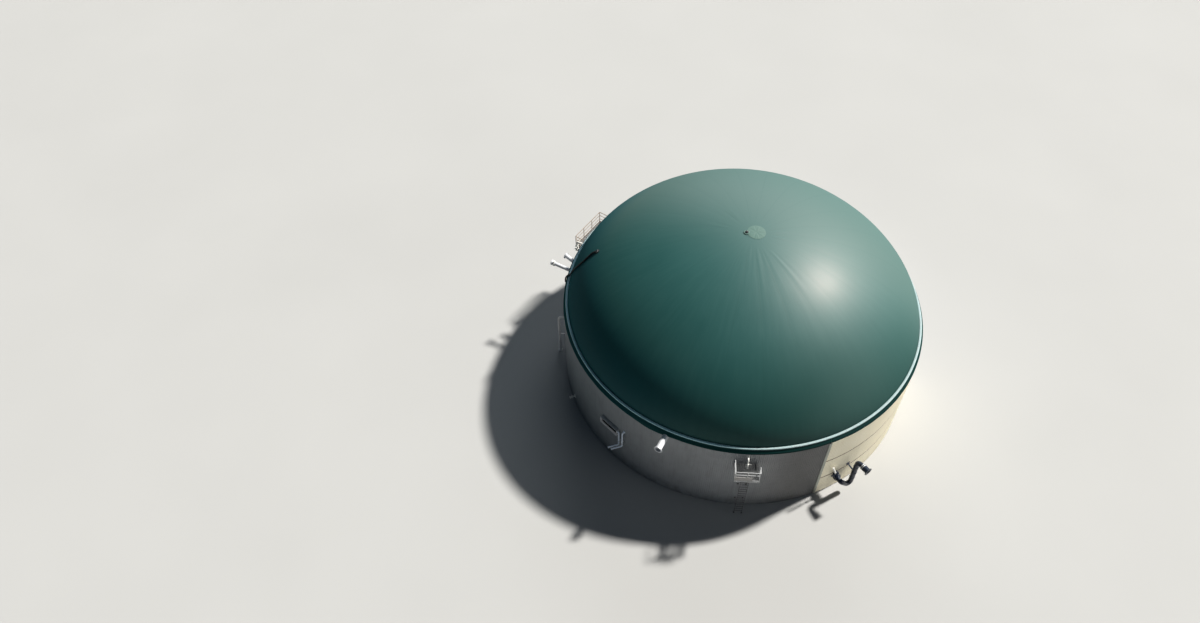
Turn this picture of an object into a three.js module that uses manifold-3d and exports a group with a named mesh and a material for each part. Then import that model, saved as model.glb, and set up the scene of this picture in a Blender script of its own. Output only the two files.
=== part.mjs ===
// Biogas digester: a round insulated concrete tank with a domed membrane roof.
// Units are millimetres, Z is up, the tank axis is the Z axis and the ground is z = 0.
// Angles are in degrees from +X, counted towards +Y; the photographed front is at -90.

import * as THREE from 'three';
import { mergeVertices } from 'three/addons/utils/BufferGeometryUtils.js';
import Module from 'manifold-3d';

const wasm = await Module();
wasm.setup();

// Driving dimensions

const GAP = 0.3;
const SIDES = 96;
const SEAM_ANGLE = -69;

const WALL = {
  inner: 11740,
  outer: 12200,
  eaves: 6350,
  shoulder: 12060,
  top: 6540,
  segments: 12,
};

const FLOOR_THICKNESS = 300;

const RAIL = { radius: 12000, halfWidth: 78, height: 125, chamfer: 32 };

const SKIRT = { thickness: 12, hem: 6225, flare: 26 };

const DOME = { rise: 6360, fullness: 1.292, thickness: 90, outerSteps: 14, innerSteps: 7 };

const PATCH = { radius: 600, thickness: 16, place: [250, 90] };

const APEX_FITTING = { place: [-370, 70], plate: 200, plateTop: 50, cap: 100, capTop: 110 };

const PLATFORM = {
  deckTop: 5250,
  deckThickness: 60,
  back: 12240,
  bracketDrop: 760,
  railHeight: 1050,
  toeHeight: 120,
};

const FRONT_PLATFORM = {
  angle: -93.85,
  front: 13500,
  halfLength: 775,
  bracketOffset: 610,
  frontPosts: 3,
  kneeRails: [710],
  leftStart: 12640,
  rightStart: 13060,
};

const BACK_PLATFORM = {
  angle: 144.6,
  front: 13000,
  halfLength: 1560,
  bracketOffset: 1260,
  frontPosts: 4,
  kneeRails: [350, 700],
  leftStart: 12264,
  rightStart: 12264,
};

const GAS_OUTLET = {
  angle: -118,
  height: 6140,
  radius: 200,
  length: 1100,
  flange: 280,
  collar: 226,
  sides: 20,
};

const INFILL = { end: 320, low: 90, high: 500, thickness: 20 };

const LADDER = { radius: 12820, halfWidth: 250, rungPitch: 280 };

// Colours as seen in the photo

const FINISH = {
  membrane: { color: 0x2f5f58, roughness: 0.42, metalness: 0.0 },
  skirt: { color: 0x173f3b, roughness: 0.5, metalness: 0.0 },
  patch: { color: 0x3c6a61, roughness: 0.45, metalness: 0.0 },
  rail: { color: 0xb4c4c1, roughness: 0.35, metalness: 0.8 },
  cladding: { color: 0x88878a, roughness: 0.55, metalness: 0.2 },
  cream: { color: 0xd8d5b4, roughness: 0.6, metalness: 0.0 },
  trim: { color: 0xa9b3a6, roughness: 0.5, metalness: 0.3 },
  concrete: { color: 0x8d8a84, roughness: 0.9, metalness: 0.0 },
  galvanised: { color: 0xa7a9ab, roughness: 0.45, metalness: 0.8 },
  grating: { color: 0x3f4045, roughness: 0.6, metalness: 0.6 },
  aluminium: { color: 0xd6d6d8, roughness: 0.3, metalness: 0.85 },
  white: { color: 0xe4e4e0, roughness: 0.4, metalness: 0.0 },
  slurry: { color: 0x2a3341, roughness: 0.4, metalness: 0.1 },
  rubber: { color: 0x14181a, roughness: 0.7, metalness: 0.0 },
};

const rad = (degrees) => (degrees * Math.PI) / 180;

// Solids and meshes

function toSolid(geometry) {
  const bare = geometry.clone();
  for (const name of Object.keys(bare.attributes)) {
    if (name !== 'position') bare.deleteAttribute(name);
  }
  const merged = mergeVertices(bare, 0.02);
  const position = merged.attributes.position;
  const source = merged.index.array;
  const triangles = [];
  let volume = 0;
  for (let i = 0; i < source.length; i += 3) {
    const [a, b, c] = [source[i], source[i + 1], source[i + 2]];
    if (a === b || b === c || c === a) continue;
    triangles.push(a, b, c);
    const pa = new THREE.Vector3().fromBufferAttribute(position, a);
    const pb = new THREE.Vector3().fromBufferAttribute(position, b);
    const pc = new THREE.Vector3().fromBufferAttribute(position, c);
    volume += pa.dot(pb.cross(pc));
  }
  if (volume < 0) {
    for (let i = 0; i < triangles.length; i += 3) {
      [triangles[i], triangles[i + 1]] = [triangles[i + 1], triangles[i]];
    }
  }
  return new wasm.Manifold(new wasm.Mesh({
    numProp: 3,
    vertProperties: new Float32Array(position.array),
    triVerts: new Uint32Array(triangles),
  }));
}

function toGeometry(solid) {
  const mesh = solid.getMesh();
  const geometry = new THREE.BufferGeometry();
  geometry.setAttribute('position', new THREE.BufferAttribute(new Float32Array(mesh.vertProperties), 3));
  geometry.setIndex(new THREE.BufferAttribute(new Uint32Array(mesh.triVerts), 1));
  geometry.computeVertexNormals();
  return geometry;
}

function fuse(...solids) {
  return solids.reduce((all, solid) => all.add(solid));
}

// A profile of [radius, height] pairs turned about the tank axis.
function turned(profile, sides = SIDES) {
  const points = profile.map(([r, z]) => new THREE.Vector2(r, z));
  const geometry = new THREE.LatheGeometry(points, sides);
  geometry.rotateX(Math.PI / 2);
  geometry.rotateZ(rad(SEAM_ANGLE));
  return toSolid(geometry);
}

function closed(profile) {
  return [...profile, profile[0]];
}

// A tall wedge between two angles, drawn in by half a gap on both faces.
function wedge(from, to, low, high) {
  const reach = 16000;
  const middle = rad((from + to) / 2);
  const half = rad((to - from) / 2);
  const start = rad(from);
  const end = rad(to);
  const tip = GAP / 2 / Math.sin(half);
  const shape = new THREE.Shape([
    new THREE.Vector2(tip * Math.cos(middle), tip * Math.sin(middle)),
    new THREE.Vector2(
      reach * Math.cos(start) - (GAP / 2) * Math.sin(start),
      reach * Math.sin(start) + (GAP / 2) * Math.cos(start),
    ),
    new THREE.Vector2(
      (reach / Math.cos(half)) * Math.cos(middle),
      (reach / Math.cos(half)) * Math.sin(middle),
    ),
    new THREE.Vector2(
      reach * Math.cos(end) + (GAP / 2) * Math.sin(end),
      reach * Math.sin(end) - (GAP / 2) * Math.cos(end),
    ),
  ]);
  const geometry = new THREE.ExtrudeGeometry(shape, { depth: high - low, bevelEnabled: false });
  geometry.translate(0, 0, low);
  return toSolid(geometry);
}

// A box given by its low and high corners.
function box([x0, y0, z0], [x1, y1, z1]) {
  const geometry = new THREE.BoxGeometry(x1 - x0, y1 - y0, z1 - z0);
  geometry.translate((x0 + x1) / 2, (y0 + y1) / 2, (z0 + z1) / 2);
  return toSolid(geometry);
}

// A straight round bar or disc between two points.
function rod(from, to, radius, sides = 12) {
  const a = new THREE.Vector3(...from);
  const b = new THREE.Vector3(...to);
  const geometry = new THREE.CylinderGeometry(radius, radius, a.distanceTo(b), sides);
  const turn = new THREE.Quaternion().setFromUnitVectors(
    new THREE.Vector3(0, 1, 0),
    b.clone().sub(a).normalize(),
  );
  geometry.applyQuaternion(turn);
  geometry.translate((a.x + b.x) / 2, (a.y + b.y) / 2, (a.z + b.z) / 2);
  return toSolid(geometry);
}

// A square bar between two points.
function bar(from, to, width) {
  const a = new THREE.Vector3(...from);
  const b = new THREE.Vector3(...to);
  const geometry = new THREE.BoxGeometry(width, a.distanceTo(b), width);
  const turn = new THREE.Quaternion().setFromUnitVectors(
    new THREE.Vector3(0, 1, 0),
    b.clone().sub(a).normalize(),
  );
  geometry.applyQuaternion(turn);
  geometry.translate((a.x + b.x) / 2, (a.y + b.y) / 2, (a.z + b.z) / 2);
  return toSolid(geometry);
}

// A run through corner points, with each corner rounded to an arc.
function roundedRun(corners, bend, steps = 5) {
  const points = corners.map((corner) => new THREE.Vector3(...corner));
  const run = [points[0]];
  for (let i = 1; i < points.length - 1; i += 1) {
    const inward = points[i - 1].clone().sub(points[i]).normalize();
    const outward = points[i + 1].clone().sub(points[i]).normalize();
    const half = inward.angleTo(outward) / 2;
    const setback = bend / Math.tan(half);
    const centre = inward.clone().add(outward).normalize().multiplyScalar(bend / Math.sin(half)).add(points[i]);
    const first = inward.clone().multiplyScalar(setback).add(points[i]).sub(centre);
    const last = outward.clone().multiplyScalar(setback).add(points[i]).sub(centre);
    const sweep = first.angleTo(last);
    for (let step = 0; step <= steps; step += 1) {
      const t = step / steps;
      const a = Math.sin((1 - t) * sweep) / Math.sin(sweep);
      const b = Math.sin(t * sweep) / Math.sin(sweep);
      run.push(first.clone().multiplyScalar(a).addScaledVector(last, b).add(centre));
    }
  }
  run.push(points[points.length - 1]);
  return run;
}

class PointRun extends THREE.Curve {
  constructor(points) {
    super();
    this.points = points;
  }

  getPoint(t, target = new THREE.Vector3()) {
    const place = Math.min(Math.max(t, 0), 1) * (this.points.length - 1);
    const index = Math.min(Math.floor(place), this.points.length - 2);
    return target.lerpVectors(this.points[index], this.points[index + 1], place - index);
  }

  getUtoTmapping(u) {
    return u;
  }
}

function tube(points, radius, sides = 12) {
  const ring = [];
  for (let i = 0; i < sides; i += 1) {
    const turn = (2 * Math.PI * i) / sides;
    ring.push(new THREE.Vector2(radius * Math.cos(turn), radius * Math.sin(turn)));
  }
  const geometry = new THREE.ExtrudeGeometry(new THREE.Shape(ring), {
    steps: points.length - 1,
    extrudePath: new PointRun(points),
    bevelEnabled: false,
  });
  return toSolid(geometry);
}

// Turns a solid built along +X (radial) to its angle on the tank.
function atAngle(solid, angle) {
  return solid.rotate([0, 0, angle]);
}

const group = new THREE.Group();
group.name = 'biogas_digester';

function addNode(name, solid, finish) {
  const material = new THREE.MeshStandardMaterial({
    color: finish.color,
    roughness: finish.roughness,
    metalness: finish.metalness,
  });
  const mesh = new THREE.Mesh(toGeometry(solid), material);
  mesh.name = name;
  group.add(mesh);
}

// Tank: floor and wall

const wallProfile = [
  [WALL.inner, 0],
  [WALL.outer, 0],
  [WALL.outer, WALL.eaves],
  [WALL.shoulder, WALL.top],
  [WALL.inner, WALL.top],
];

addNode('tank_floor', turned([
  [0, 0],
  [WALL.inner - GAP, 0],
  [WALL.inner - GAP, FLOOR_THICKNESS],
  [0, FLOOR_THICKNESS],
]), FINISH.concrete);

const wallRing = turned(closed(wallProfile));
const segmentAngle = 360 / WALL.segments;
for (let i = 0; i < WALL.segments; i += 1) {
  const from = SEAM_ANGLE + i * segmentAngle;
  const piece = wallRing.intersect(wedge(from, from + segmentAngle, -10, WALL.top + 10));
  const number = String(i + 1).padStart(2, '0');
  const cream = i < 2;
  addNode(`wall_${number}`, piece, cream ? FINISH.cream : FINISH.cladding);
}

// Everything that is fixed outside the wall is trimmed by this body.
const wallClear = turned([
  [0, -200],
  [WALL.outer + GAP, -200],
  [WALL.outer + GAP, WALL.eaves],
  [WALL.shoulder + GAP, WALL.top + GAP],
  [0, WALL.top + GAP],
]);

const trimRing = turned(closed([
  [WALL.outer + GAP, 0],
  [WALL.outer + 34, 0],
  [WALL.outer + 34, SKIRT.hem - 20],
  [WALL.outer + GAP, SKIRT.hem - 20],
]));
addNode('trim_front', trimRing.intersect(wedge(-69.5, -68.6, -10, 7000)), FINISH.trim);
addNode('trim_far', trimRing.intersect(wedge(-9.4, -8.5, -10, 7000)), FINISH.trim);

// Rim: clamping rail and membrane skirt

const railLow = WALL.top + GAP;
const railHigh = railLow + RAIL.height;
const railIn = RAIL.radius - RAIL.halfWidth;
const railOut = RAIL.radius + RAIL.halfWidth;
const railProfile = (grow) => [
  [railIn - grow, railLow - grow],
  [railOut + grow, railLow - grow],
  [railOut + grow, railHigh - RAIL.chamfer],
  [railOut - RAIL.chamfer, railHigh + grow],
  [railIn + RAIL.chamfer, railHigh + grow],
  [railIn - grow, railHigh - RAIL.chamfer],
];
addNode('clamp_rail', turned(closed(railProfile(0))), FINISH.rail);

const skirtTop = railLow + 42;
const skirtProfile = (low, high) => [
  [railOut + GAP, skirtTop],
  [railOut + GAP, WALL.top - 8],
  [WALL.outer + low, WALL.eaves + 2],
  [WALL.outer + SKIRT.flare + low, SKIRT.hem],
  [WALL.outer + SKIRT.flare + high, SKIRT.hem],
  [WALL.outer + high + 6, WALL.eaves + 20],
  [railOut + high + 6, skirtTop],
];
const gasNotch = atAngle(
  rod(
    [WALL.outer - 150, 0, GAS_OUTLET.height],
    [WALL.outer + 150, 0, GAS_OUTLET.height],
    GAS_OUTLET.collar + GAP,
    GAS_OUTLET.sides,
  ),
  GAS_OUTLET.angle,
);
const skirt = turned(closed(skirtProfile(GAP, SKIRT.thickness)))
  .subtract(wallClear)
  .subtract(gasNotch);
addNode('skirt_band', skirt, FINISH.skirt);

// Roof: domed membrane

const domeBase = WALL.top + GAP;
const domeRadius = railIn - GAP;

function domeCurve(radius, rise, steps, raise = 0) {
  const points = [];
  for (let i = 0; i <= steps; i += 1) {
    const t = (Math.PI / 2) * (i / steps);
    points.push([
      (radius + raise) * Math.sin(t),
      domeBase + (rise + raise) * Math.pow(Math.max(Math.cos(t), 0), DOME.fullness),
    ]);
  }
  points[0][0] = 0;
  points[steps][1] = domeBase;
  return points;
}

function domeBody(raise) {
  const outer = domeCurve(domeRadius, DOME.rise, DOME.outerSteps, raise);
  return turned([...outer, [0, domeBase]]);
}

const outerCurve = domeCurve(domeRadius, DOME.rise, DOME.outerSteps);
const innerCurve = domeCurve(domeRadius - DOME.thickness, DOME.rise - DOME.thickness, DOME.innerSteps);
addNode('membrane_dome', turned([...innerCurve, ...outerCurve.slice().reverse()]), FINISH.membrane);

const domeClear = domeBody(GAP);
const apexHeight = domeBase + DOME.rise;
const fittingDisc = (low, high, radius, sides) => rod(
  [...APEX_FITTING.place, apexHeight + low],
  [...APEX_FITTING.place, apexHeight + high],
  radius,
  sides,
);
const patchDisc = rod([...PATCH.place, domeBase], [...PATCH.place, apexHeight + 500], PATCH.radius, 48);
const patch = domeBody(GAP + PATCH.thickness)
  .intersect(patchDisc)
  .subtract(domeClear)
  .subtract(fittingDisc(-300, 300, APEX_FITTING.plate + GAP, 24));
addNode('apex_patch', patch, FINISH.patch);

const fitting = fuse(
  fittingDisc(-120, APEX_FITTING.plateTop, APEX_FITTING.plate, 24),
  fittingDisc(0, APEX_FITTING.capTop, APEX_FITTING.cap, 16),
);
addNode('apex_fitting', fitting.subtract(domeClear), FINISH.galvanised);

// Support-air hose lying on the membrane

function onDome(radius, angle, lift) {
  const curve = outerCurve;
  let z = domeBase;
  for (let i = 0; i < curve.length - 1; i += 1) {
    const [r0, z0] = curve[i];
    const [r1, z1] = curve[i + 1];
    if (radius >= r0 && radius <= r1) z = z0 + ((z1 - z0) * (radius - r0)) / (r1 - r0);
  }
  const tilt = Math.atan2(z - domeBase, radius);
  return [
    (radius + lift * Math.cos(tilt)) * Math.cos(rad(angle)),
    (radius + lift * Math.cos(tilt)) * Math.sin(rad(angle)),
    z + lift * Math.sin(tilt) + lift * 0.4,
  ];
}

const inletPlace = { radius: 10020, angle: 169.9 };
const hosePoints = [
  onDome(10080, 169.8, 40),
  onDome(10360, 169.6, 40),
  onDome(10650, 170.5, 42),
  onDome(10920, 171.0, 42),
  onDome(11170, 171.2, 44),
  onDome(11420, 171.1, 46),
  onDome(11650, 170.8, 50),
  onDome(11830, 170.5, 58),
  [12020 * Math.cos(rad(170.2)), 12020 * Math.sin(rad(170.2)), railHigh + 66],
  [12160 * Math.cos(rad(170.2)), 12160 * Math.sin(rad(170.2)), railHigh - 4],
  [12272 * Math.cos(rad(170.2)), 12272 * Math.sin(rad(170.2)), 6430],
  [12306 * Math.cos(rad(170.2)), 12306 * Math.sin(rad(170.2)), 6250],
  [12312 * Math.cos(rad(170.2)), 12312 * Math.sin(rad(170.2)), 6090],
  [12290 * Math.cos(rad(170.2)), 12290 * Math.sin(rad(170.2)), 5990],
  [12240 * Math.cos(rad(170.2)), 12240 * Math.sin(rad(170.2)), 5930],
  [12150 * Math.cos(rad(170.2)), 12150 * Math.sin(rad(170.2)), 5910],
].map((point) => new THREE.Vector3(...point));
const inletFoot = onDome(inletPlace.radius, inletPlace.angle, -60);
const inletBody = (top, grow) => rod(
  inletFoot,
  onDome(inletPlace.radius, inletPlace.angle, top),
  170 + grow,
  16,
);
const railClear = turned(closed(railProfile(GAP)));
const skirtClear = turned([
  [0, SKIRT.hem - GAP],
  [WALL.outer + SKIRT.flare + SKIRT.thickness + GAP, SKIRT.hem - GAP],
  [WALL.outer + SKIRT.thickness + 6 + GAP, WALL.eaves + 20],
  [railOut + SKIRT.thickness + 6 + GAP, skirtTop + GAP],
  [0, skirtTop + GAP],
]);
const hose = tube(hosePoints, 62, 10)
  .subtract(domeClear)
  .subtract(railClear)
  .subtract(skirtClear)
  .subtract(wallClear)
  .subtract(inletBody(400, GAP));
addNode('air_hose', hose, FINISH.rubber);
addNode('air_inlet', inletBody(110, 0).subtract(domeClear), FINISH.rubber);

// Flanged pipe ends

// Turns a solid built along +X from the wall's face about its place on the wall.
function fromWall(solid, angle, turn) {
  return atAngle(solid.rotate([0, 0, turn]).translate([WALL.outer, 0, 0]), angle);
}

function pipeStub({ angle, turn = 0, height, radius, length, flange, collar = flange, sides }) {
  const seal = rod([-60, 0, height], [30, 0, height], collar, sides);
  const pipe = fuse(
    rod([-200, 0, height], [length, 0, height], radius, sides),
    rod([length - 40, 0, height], [length, 0, height], flange, sides),
  );
  return fuse(fromWall(seal, angle, 0), fromWall(pipe, angle, turn)).subtract(wallClear);
}

addNode('gas_outlet', pipeStub(GAS_OUTLET), FINISH.aluminium);

addNode('gas_inlet_upper', pipeStub({
  angle: 160.5,
  turn: -26,
  height: 5850,
  radius: 150,
  length: 950,
  flange: 220,
  sides: 16,
}), FINISH.aluminium);

const LOWER_INLET = {
  angle: 164.5,
  turn: -15,
  height: 5850,
  radius: 130,
  length: 1650,
  flange: 200,
  sides: 16,
};
const inletValve = { along: 1420, bodyRadius: 190, stemTop: 6180 };
const inletValveBody = fuse(
  rod(
    [inletValve.along - 45, 0, LOWER_INLET.height],
    [inletValve.along + 45, 0, LOWER_INLET.height],
    inletValve.bodyRadius,
    LOWER_INLET.sides,
  ),
  rod([inletValve.along, 0, LOWER_INLET.height], [inletValve.along, 0, inletValve.stemTop], 36, 8),
  box(
    [inletValve.along - 20, -150, inletValve.stemTop - 40],
    [inletValve.along + 20, 150, inletValve.stemTop + 10],
  ),
);
addNode('gas_inlet_lower', fuse(
  pipeStub(LOWER_INLET),
  fromWall(inletValveBody, LOWER_INLET.angle, LOWER_INLET.turn),
), FINISH.white);

// Heating manifold cover and its twin pipes

const COVER = { angle: -137.7, from: -800, to: 740, low: 3230, high: 3770, depth: 210 };
const SLOT = { from: -620, to: 670, low: 3470, high: 3720 };
const coverShell = box(
  [WALL.outer - 60, COVER.from, COVER.low],
  [WALL.outer + COVER.depth, COVER.to, COVER.high],
);
const coverSlot = box(
  [WALL.outer + 60, SLOT.from, SLOT.low],
  [WALL.outer + COVER.depth + 10, SLOT.to, SLOT.high],
);
addNode('heating_cover', atAngle(coverShell.subtract(coverSlot), COVER.angle).subtract(wallClear), FINISH.galvanised);

// One line leaves the cover's end, the other the wall; both drop and turn away at the foot.
const HEATING = {
  axis: WALL.outer + 120,
  radius: 55,
  flange: 82,
  bend: 105,
  turn: -26,
  leg: 750,
  lines: [
    { y: 870, top: 3620, low: 2200, start: [WALL.outer + 120, COVER.to + GAP] },
    { y: 1180, top: 3900, low: 2370, start: [WALL.outer - 160, 1180] },
  ],
};

function heatingLine({ y, top, low, start }) {
  const reach = (along) => [
    HEATING.axis + along * Math.cos(rad(HEATING.turn)),
    y + along * Math.sin(rad(HEATING.turn)),
    low,
  ];
  return fuse(
    tube(roundedRun([
      [...start, top],
      [HEATING.axis, y, top],
      [HEATING.axis, y, low],
      reach(HEATING.leg),
    ], HEATING.bend), HEATING.radius, 10),
    rod(reach(HEATING.leg - 30), reach(HEATING.leg), HEATING.flange, 12),
  );
}
const heatingPipes = fuse(
  ...HEATING.lines.map(heatingLine),
  rod([WALL.outer - 160, 1180, 3900], [WALL.outer - 32, 1180, 3900], 100, 12),
  box([WALL.outer - 120, 810, 2640], [HEATING.axis + 20, 1240, 2700]),
);
addNode('heating_pipes', atAngle(heatingPipes, COVER.angle).subtract(wallClear), FINISH.aluminium);

// Riser at the left side

const RISER = { angle: 177, axis: 12680, height: 3800, radius: 90 };
const riser = fuse(
  tube(roundedRun([
    [WALL.outer - 60, 0, RISER.height],
    [RISER.axis, 0, RISER.height],
    [RISER.axis, 0, 20],
  ], 200), RISER.radius, 12),
  rod([WALL.outer - 60, 0, RISER.height], [WALL.outer + 30, 0, RISER.height], 160, 16),
  rod([RISER.axis, 0, 0], [RISER.axis, 0, 40], 160, 16),
  box([WALL.outer - 60, -30, 1900], [RISER.axis, 30, 1960]),
);
addNode('side_riser', atAngle(riser, RISER.angle).subtract(wallClear), FINISH.galvanised);

// Slurry nozzle, valve and riser

const SLURRY = {
  angle: -62.8,
  height: 1500,
  radius: 165,
  flange: 250,
  sideways: 920,
  low: 400,
  middle: 2000,
  top: 3330,
  lowerBend: 215,
  topBend: 300,
  turn: 7.4,
  leg: 900,
  sleeve: 205,
  sleeveStart: 340,
  sleeveFlange: 290,
};
const nozzleEnd = WALL.outer + 170;
const nozzle = fuse(
  rod([WALL.outer - 60, 0, SLURRY.height], [WALL.outer + 30, 0, SLURRY.height], SLURRY.flange + 30, 20),
  rod([WALL.outer - 60, 0, SLURRY.height], [nozzleEnd, 0, SLURRY.height], SLURRY.radius, 20),
  rod([nozzleEnd - 40, 0, SLURRY.height], [nozzleEnd, 0, SLURRY.height], SLURRY.flange, 20),
);
addNode('slurry_nozzle', atAngle(nozzle, SLURRY.angle).subtract(wallClear), FINISH.slurry);

// A knife gate valve whose bonnet, yoke and cylinder lean to one side.
const VALVE = { lean: 22, bonnet: 560, yoke: 900, end: 1800 };
const valveEnd = nozzleEnd + GAP + 130;
const valveMiddle = (nozzleEnd + GAP + valveEnd) / 2;
const valve = fuse(
  rod([nozzleEnd + GAP, 0, 0], [valveEnd, 0, 0], SLURRY.flange, 20),
  box([valveMiddle - 45, -205, 0], [valveMiddle + 45, 205, VALVE.bonnet]),
  box([valveMiddle - 60, -225, VALVE.bonnet - 30], [valveMiddle + 60, 225, VALVE.bonnet + 10]),
  box([valveMiddle - 25, -150, VALVE.bonnet], [valveMiddle + 25, -110, VALVE.yoke]),
  box([valveMiddle - 25, 110, VALVE.bonnet], [valveMiddle + 25, 150, VALVE.yoke]),
  rod([valveMiddle, 0, VALVE.bonnet], [valveMiddle, 0, VALVE.yoke], 30, 8),
  box([valveMiddle - 60, -165, VALVE.yoke - 30], [valveMiddle + 60, 165, VALVE.yoke]),
  rod([valveMiddle, 0, VALVE.yoke - 10], [valveMiddle, 0, VALVE.end], 65, 12),
).rotate([VALVE.lean, 0, 0]).translate([0, 0, SLURRY.height]);
addNode('slurry_valve', atAngle(valve, SLURRY.angle), FINISH.slurry);

const riserX = valveEnd + 360;
const legPoint = (along, aside = 0) => [
  riserX + along * Math.cos(rad(SLURRY.turn)) + aside * Math.sin(rad(SLURRY.turn)),
  SLURRY.sideways + along * Math.sin(rad(SLURRY.turn)) - aside * Math.cos(rad(SLURRY.turn)),
  SLURRY.top,
];
const riserRun = [
  ...roundedRun([
    [valveEnd + GAP, 0, SLURRY.height],
    [riserX, 0, SLURRY.height],
    [riserX, SLURRY.sideways, SLURRY.low],
    [riserX, SLURRY.sideways, SLURRY.middle],
  ], SLURRY.lowerBend),
  ...roundedRun([
    [riserX, SLURRY.sideways, SLURRY.middle],
    [riserX, SLURRY.sideways, SLURRY.top],
    legPoint(SLURRY.leg),
  ], SLURRY.topBend).slice(1),
];
const slurryRiser = fuse(
  tube(riserRun, SLURRY.radius, 16),
  rod([valveEnd + GAP, 0, SLURRY.height], [valveEnd + GAP + 40, 0, SLURRY.height], SLURRY.flange, 20),
  rod(legPoint(SLURRY.sleeveStart), legPoint(SLURRY.leg), SLURRY.sleeve, 20),
  rod(legPoint(SLURRY.leg - 40), legPoint(SLURRY.leg), SLURRY.sleeveFlange, 20),
  rod(legPoint(750), legPoint(750, 285), 45, 10),
  box([WALL.outer - 100, SLURRY.sideways - 40, 2080], [riserX, SLURRY.sideways + 40, 2150]),
);
addNode('slurry_riser', atAngle(slurryRiser, SLURRY.angle).subtract(wallClear), FINISH.slurry);

// Drain nozzle at the lower left

const DRAIN = { angle: -160.2, height: 880 };
const drain = fuse(
  rod([WALL.outer - 60, 0, DRAIN.height], [WALL.outer + 25, 0, DRAIN.height], 150, 16),
  rod([WALL.outer - 60, 0, DRAIN.height], [WALL.outer + 420, 0, DRAIN.height], 60, 12),
  rod([WALL.outer + 390, 0, DRAIN.height], [WALL.outer + 420, 0, DRAIN.height], 110, 12),
  rod([WALL.outer + 200, 0, DRAIN.height], [WALL.outer + 310, 0, DRAIN.height], 95, 12),
  rod([WALL.outer + 255, 0, DRAIN.height], [WALL.outer + 255, 0, DRAIN.height + 200], 22, 8),
  box([WALL.outer + 235, -150, DRAIN.height + 180], [WALL.outer + 275, 60, DRAIN.height + 210]),
);
addNode('drain_nozzle', atAngle(drain, DRAIN.angle).subtract(wallClear), FINISH.white);

// Service platforms

const deckLow = PLATFORM.deckTop - PLATFORM.deckThickness;

function platform({ angle, front, halfLength, bracketOffset }) {
  const parts = [
    box([PLATFORM.back, -halfLength, deckLow], [front, halfLength, PLATFORM.deckTop]),
  ];
  for (const side of [-1, 1]) {
    const y = side * bracketOffset;
    parts.push(
      box([WALL.outer - 200, y - 35, deckLow - 80], [front - 40, y + 35, deckLow + 10]),
      box([WALL.outer - 200, y - 35, deckLow - PLATFORM.bracketDrop], [WALL.outer + 35, y + 35, deckLow]),
      bar(
        [WALL.outer, y, deckLow - PLATFORM.bracketDrop + 60],
        [front - 120, y, deckLow - 30],
        60,
      ),
    );
  }
  return atAngle(fuse(...parts), angle).subtract(wallClear);
}

// A flat railing panel along local Y, standing on the deck.
function railingPanel(from, to, posts, kneeRails) {
  const foot = PLATFORM.deckTop + GAP;
  const top = PLATFORM.deckTop + PLATFORM.railHeight;
  const [x0, y0] = from;
  const [x1, y1] = to;
  const parts = [];
  for (let i = 0; i < posts; i += 1) {
    const t = i / (posts - 1);
    const x = x0 + (x1 - x0) * t;
    const y = y0 + (y1 - y0) * t;
    parts.push(box([x - 20, y - 20, foot], [x + 20, y + 20, top]));
  }
  const level = (z, half) => box(
    [Math.min(x0, x1) - half, Math.min(y0, y1) - half, z - half],
    [Math.max(x0, x1) + half, Math.max(y0, y1) + half, z + half],
  );
  parts.push(level(top - 18, 18), ...kneeRails.map((height) => level(PLATFORM.deckTop + height, 14)));
  parts.push(box(
    [Math.min(x0, x1) - 6, Math.min(y0, y1) - 6, foot],
    [Math.max(x0, x1) + 6, Math.max(y0, y1) + 6, PLATFORM.deckTop + PLATFORM.toeHeight],
  ));
  return fuse(...parts);
}

function railings(name, { angle, front, halfLength, frontPosts, kneeRails, leftStart, rightStart }, infill) {
  const side = halfLength - 24;
  const frontX = front - 24;
  const sideEnd = frontX - 44;
  const panels = {
    front: railingPanel([frontX, -side], [frontX, side], frontPosts, kneeRails),
    left: railingPanel([leftStart, -side], [sideEnd, -side], 2, kneeRails),
    right: railingPanel([rightStart, side], [sideEnd, side], 2, kneeRails),
  };
  if (infill) {
    panels.front = panels.front.add(box(
      [frontX + 14, -side - 20, PLATFORM.deckTop + infill.low],
      [frontX + 14 + infill.thickness, infill.end, PLATFORM.deckTop + infill.high],
    ));
  }
  for (const [place, panel] of Object.entries(panels)) {
    addNode(`${name}_rail_${place}`, atAngle(panel, angle), FINISH.galvanised);
  }
}

function ladder(angle) {
  const top = deckLow - GAP;
  const parts = [];
  for (const side of [-1, 1]) {
    const y = side * LADDER.halfWidth;
    parts.push(box([LADDER.radius - 30, y - 12, 0], [LADDER.radius + 30, y + 12, top]));
    for (const z of [900, 2700, 4200]) {
      parts.push(box([WALL.outer - 60, y - 12, z - 25], [LADDER.radius, y + 12, z + 25]));
    }
  }
  for (let z = 280; z < top - 100; z += LADDER.rungPitch) {
    parts.push(rod([LADDER.radius, -LADDER.halfWidth, z], [LADDER.radius, LADDER.halfWidth, z], 14, 6));
  }
  return atAngle(fuse(...parts), angle).subtract(wallClear);
}

function reliefValve(angle, radius, size, armSide) {
  const foot = PLATFORM.deckTop + GAP;
  const inlet = 6080;
  return atAngle(fuse(
    tube(roundedRun([
      [WALL.outer - 60, 0, inlet],
      [radius, 0, inlet],
      [radius, 0, foot + 60],
    ], 120), 55 * size, 12),
    rod([WALL.outer - 60, 0, inlet], [WALL.outer + 25, 0, inlet], 105, 14),
    rod([radius, 0, foot], [radius, 0, foot + 170], 105 * size, 16),
    rod([radius, 0, foot + 300], [radius, 0, foot + 480], 100 * size, 14),
    rod([radius, -60 * armSide, foot + 390], [radius, 230 * size * armSide, foot + 390], 38 * size, 10),
  ), angle).subtract(wallClear);
}

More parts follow.
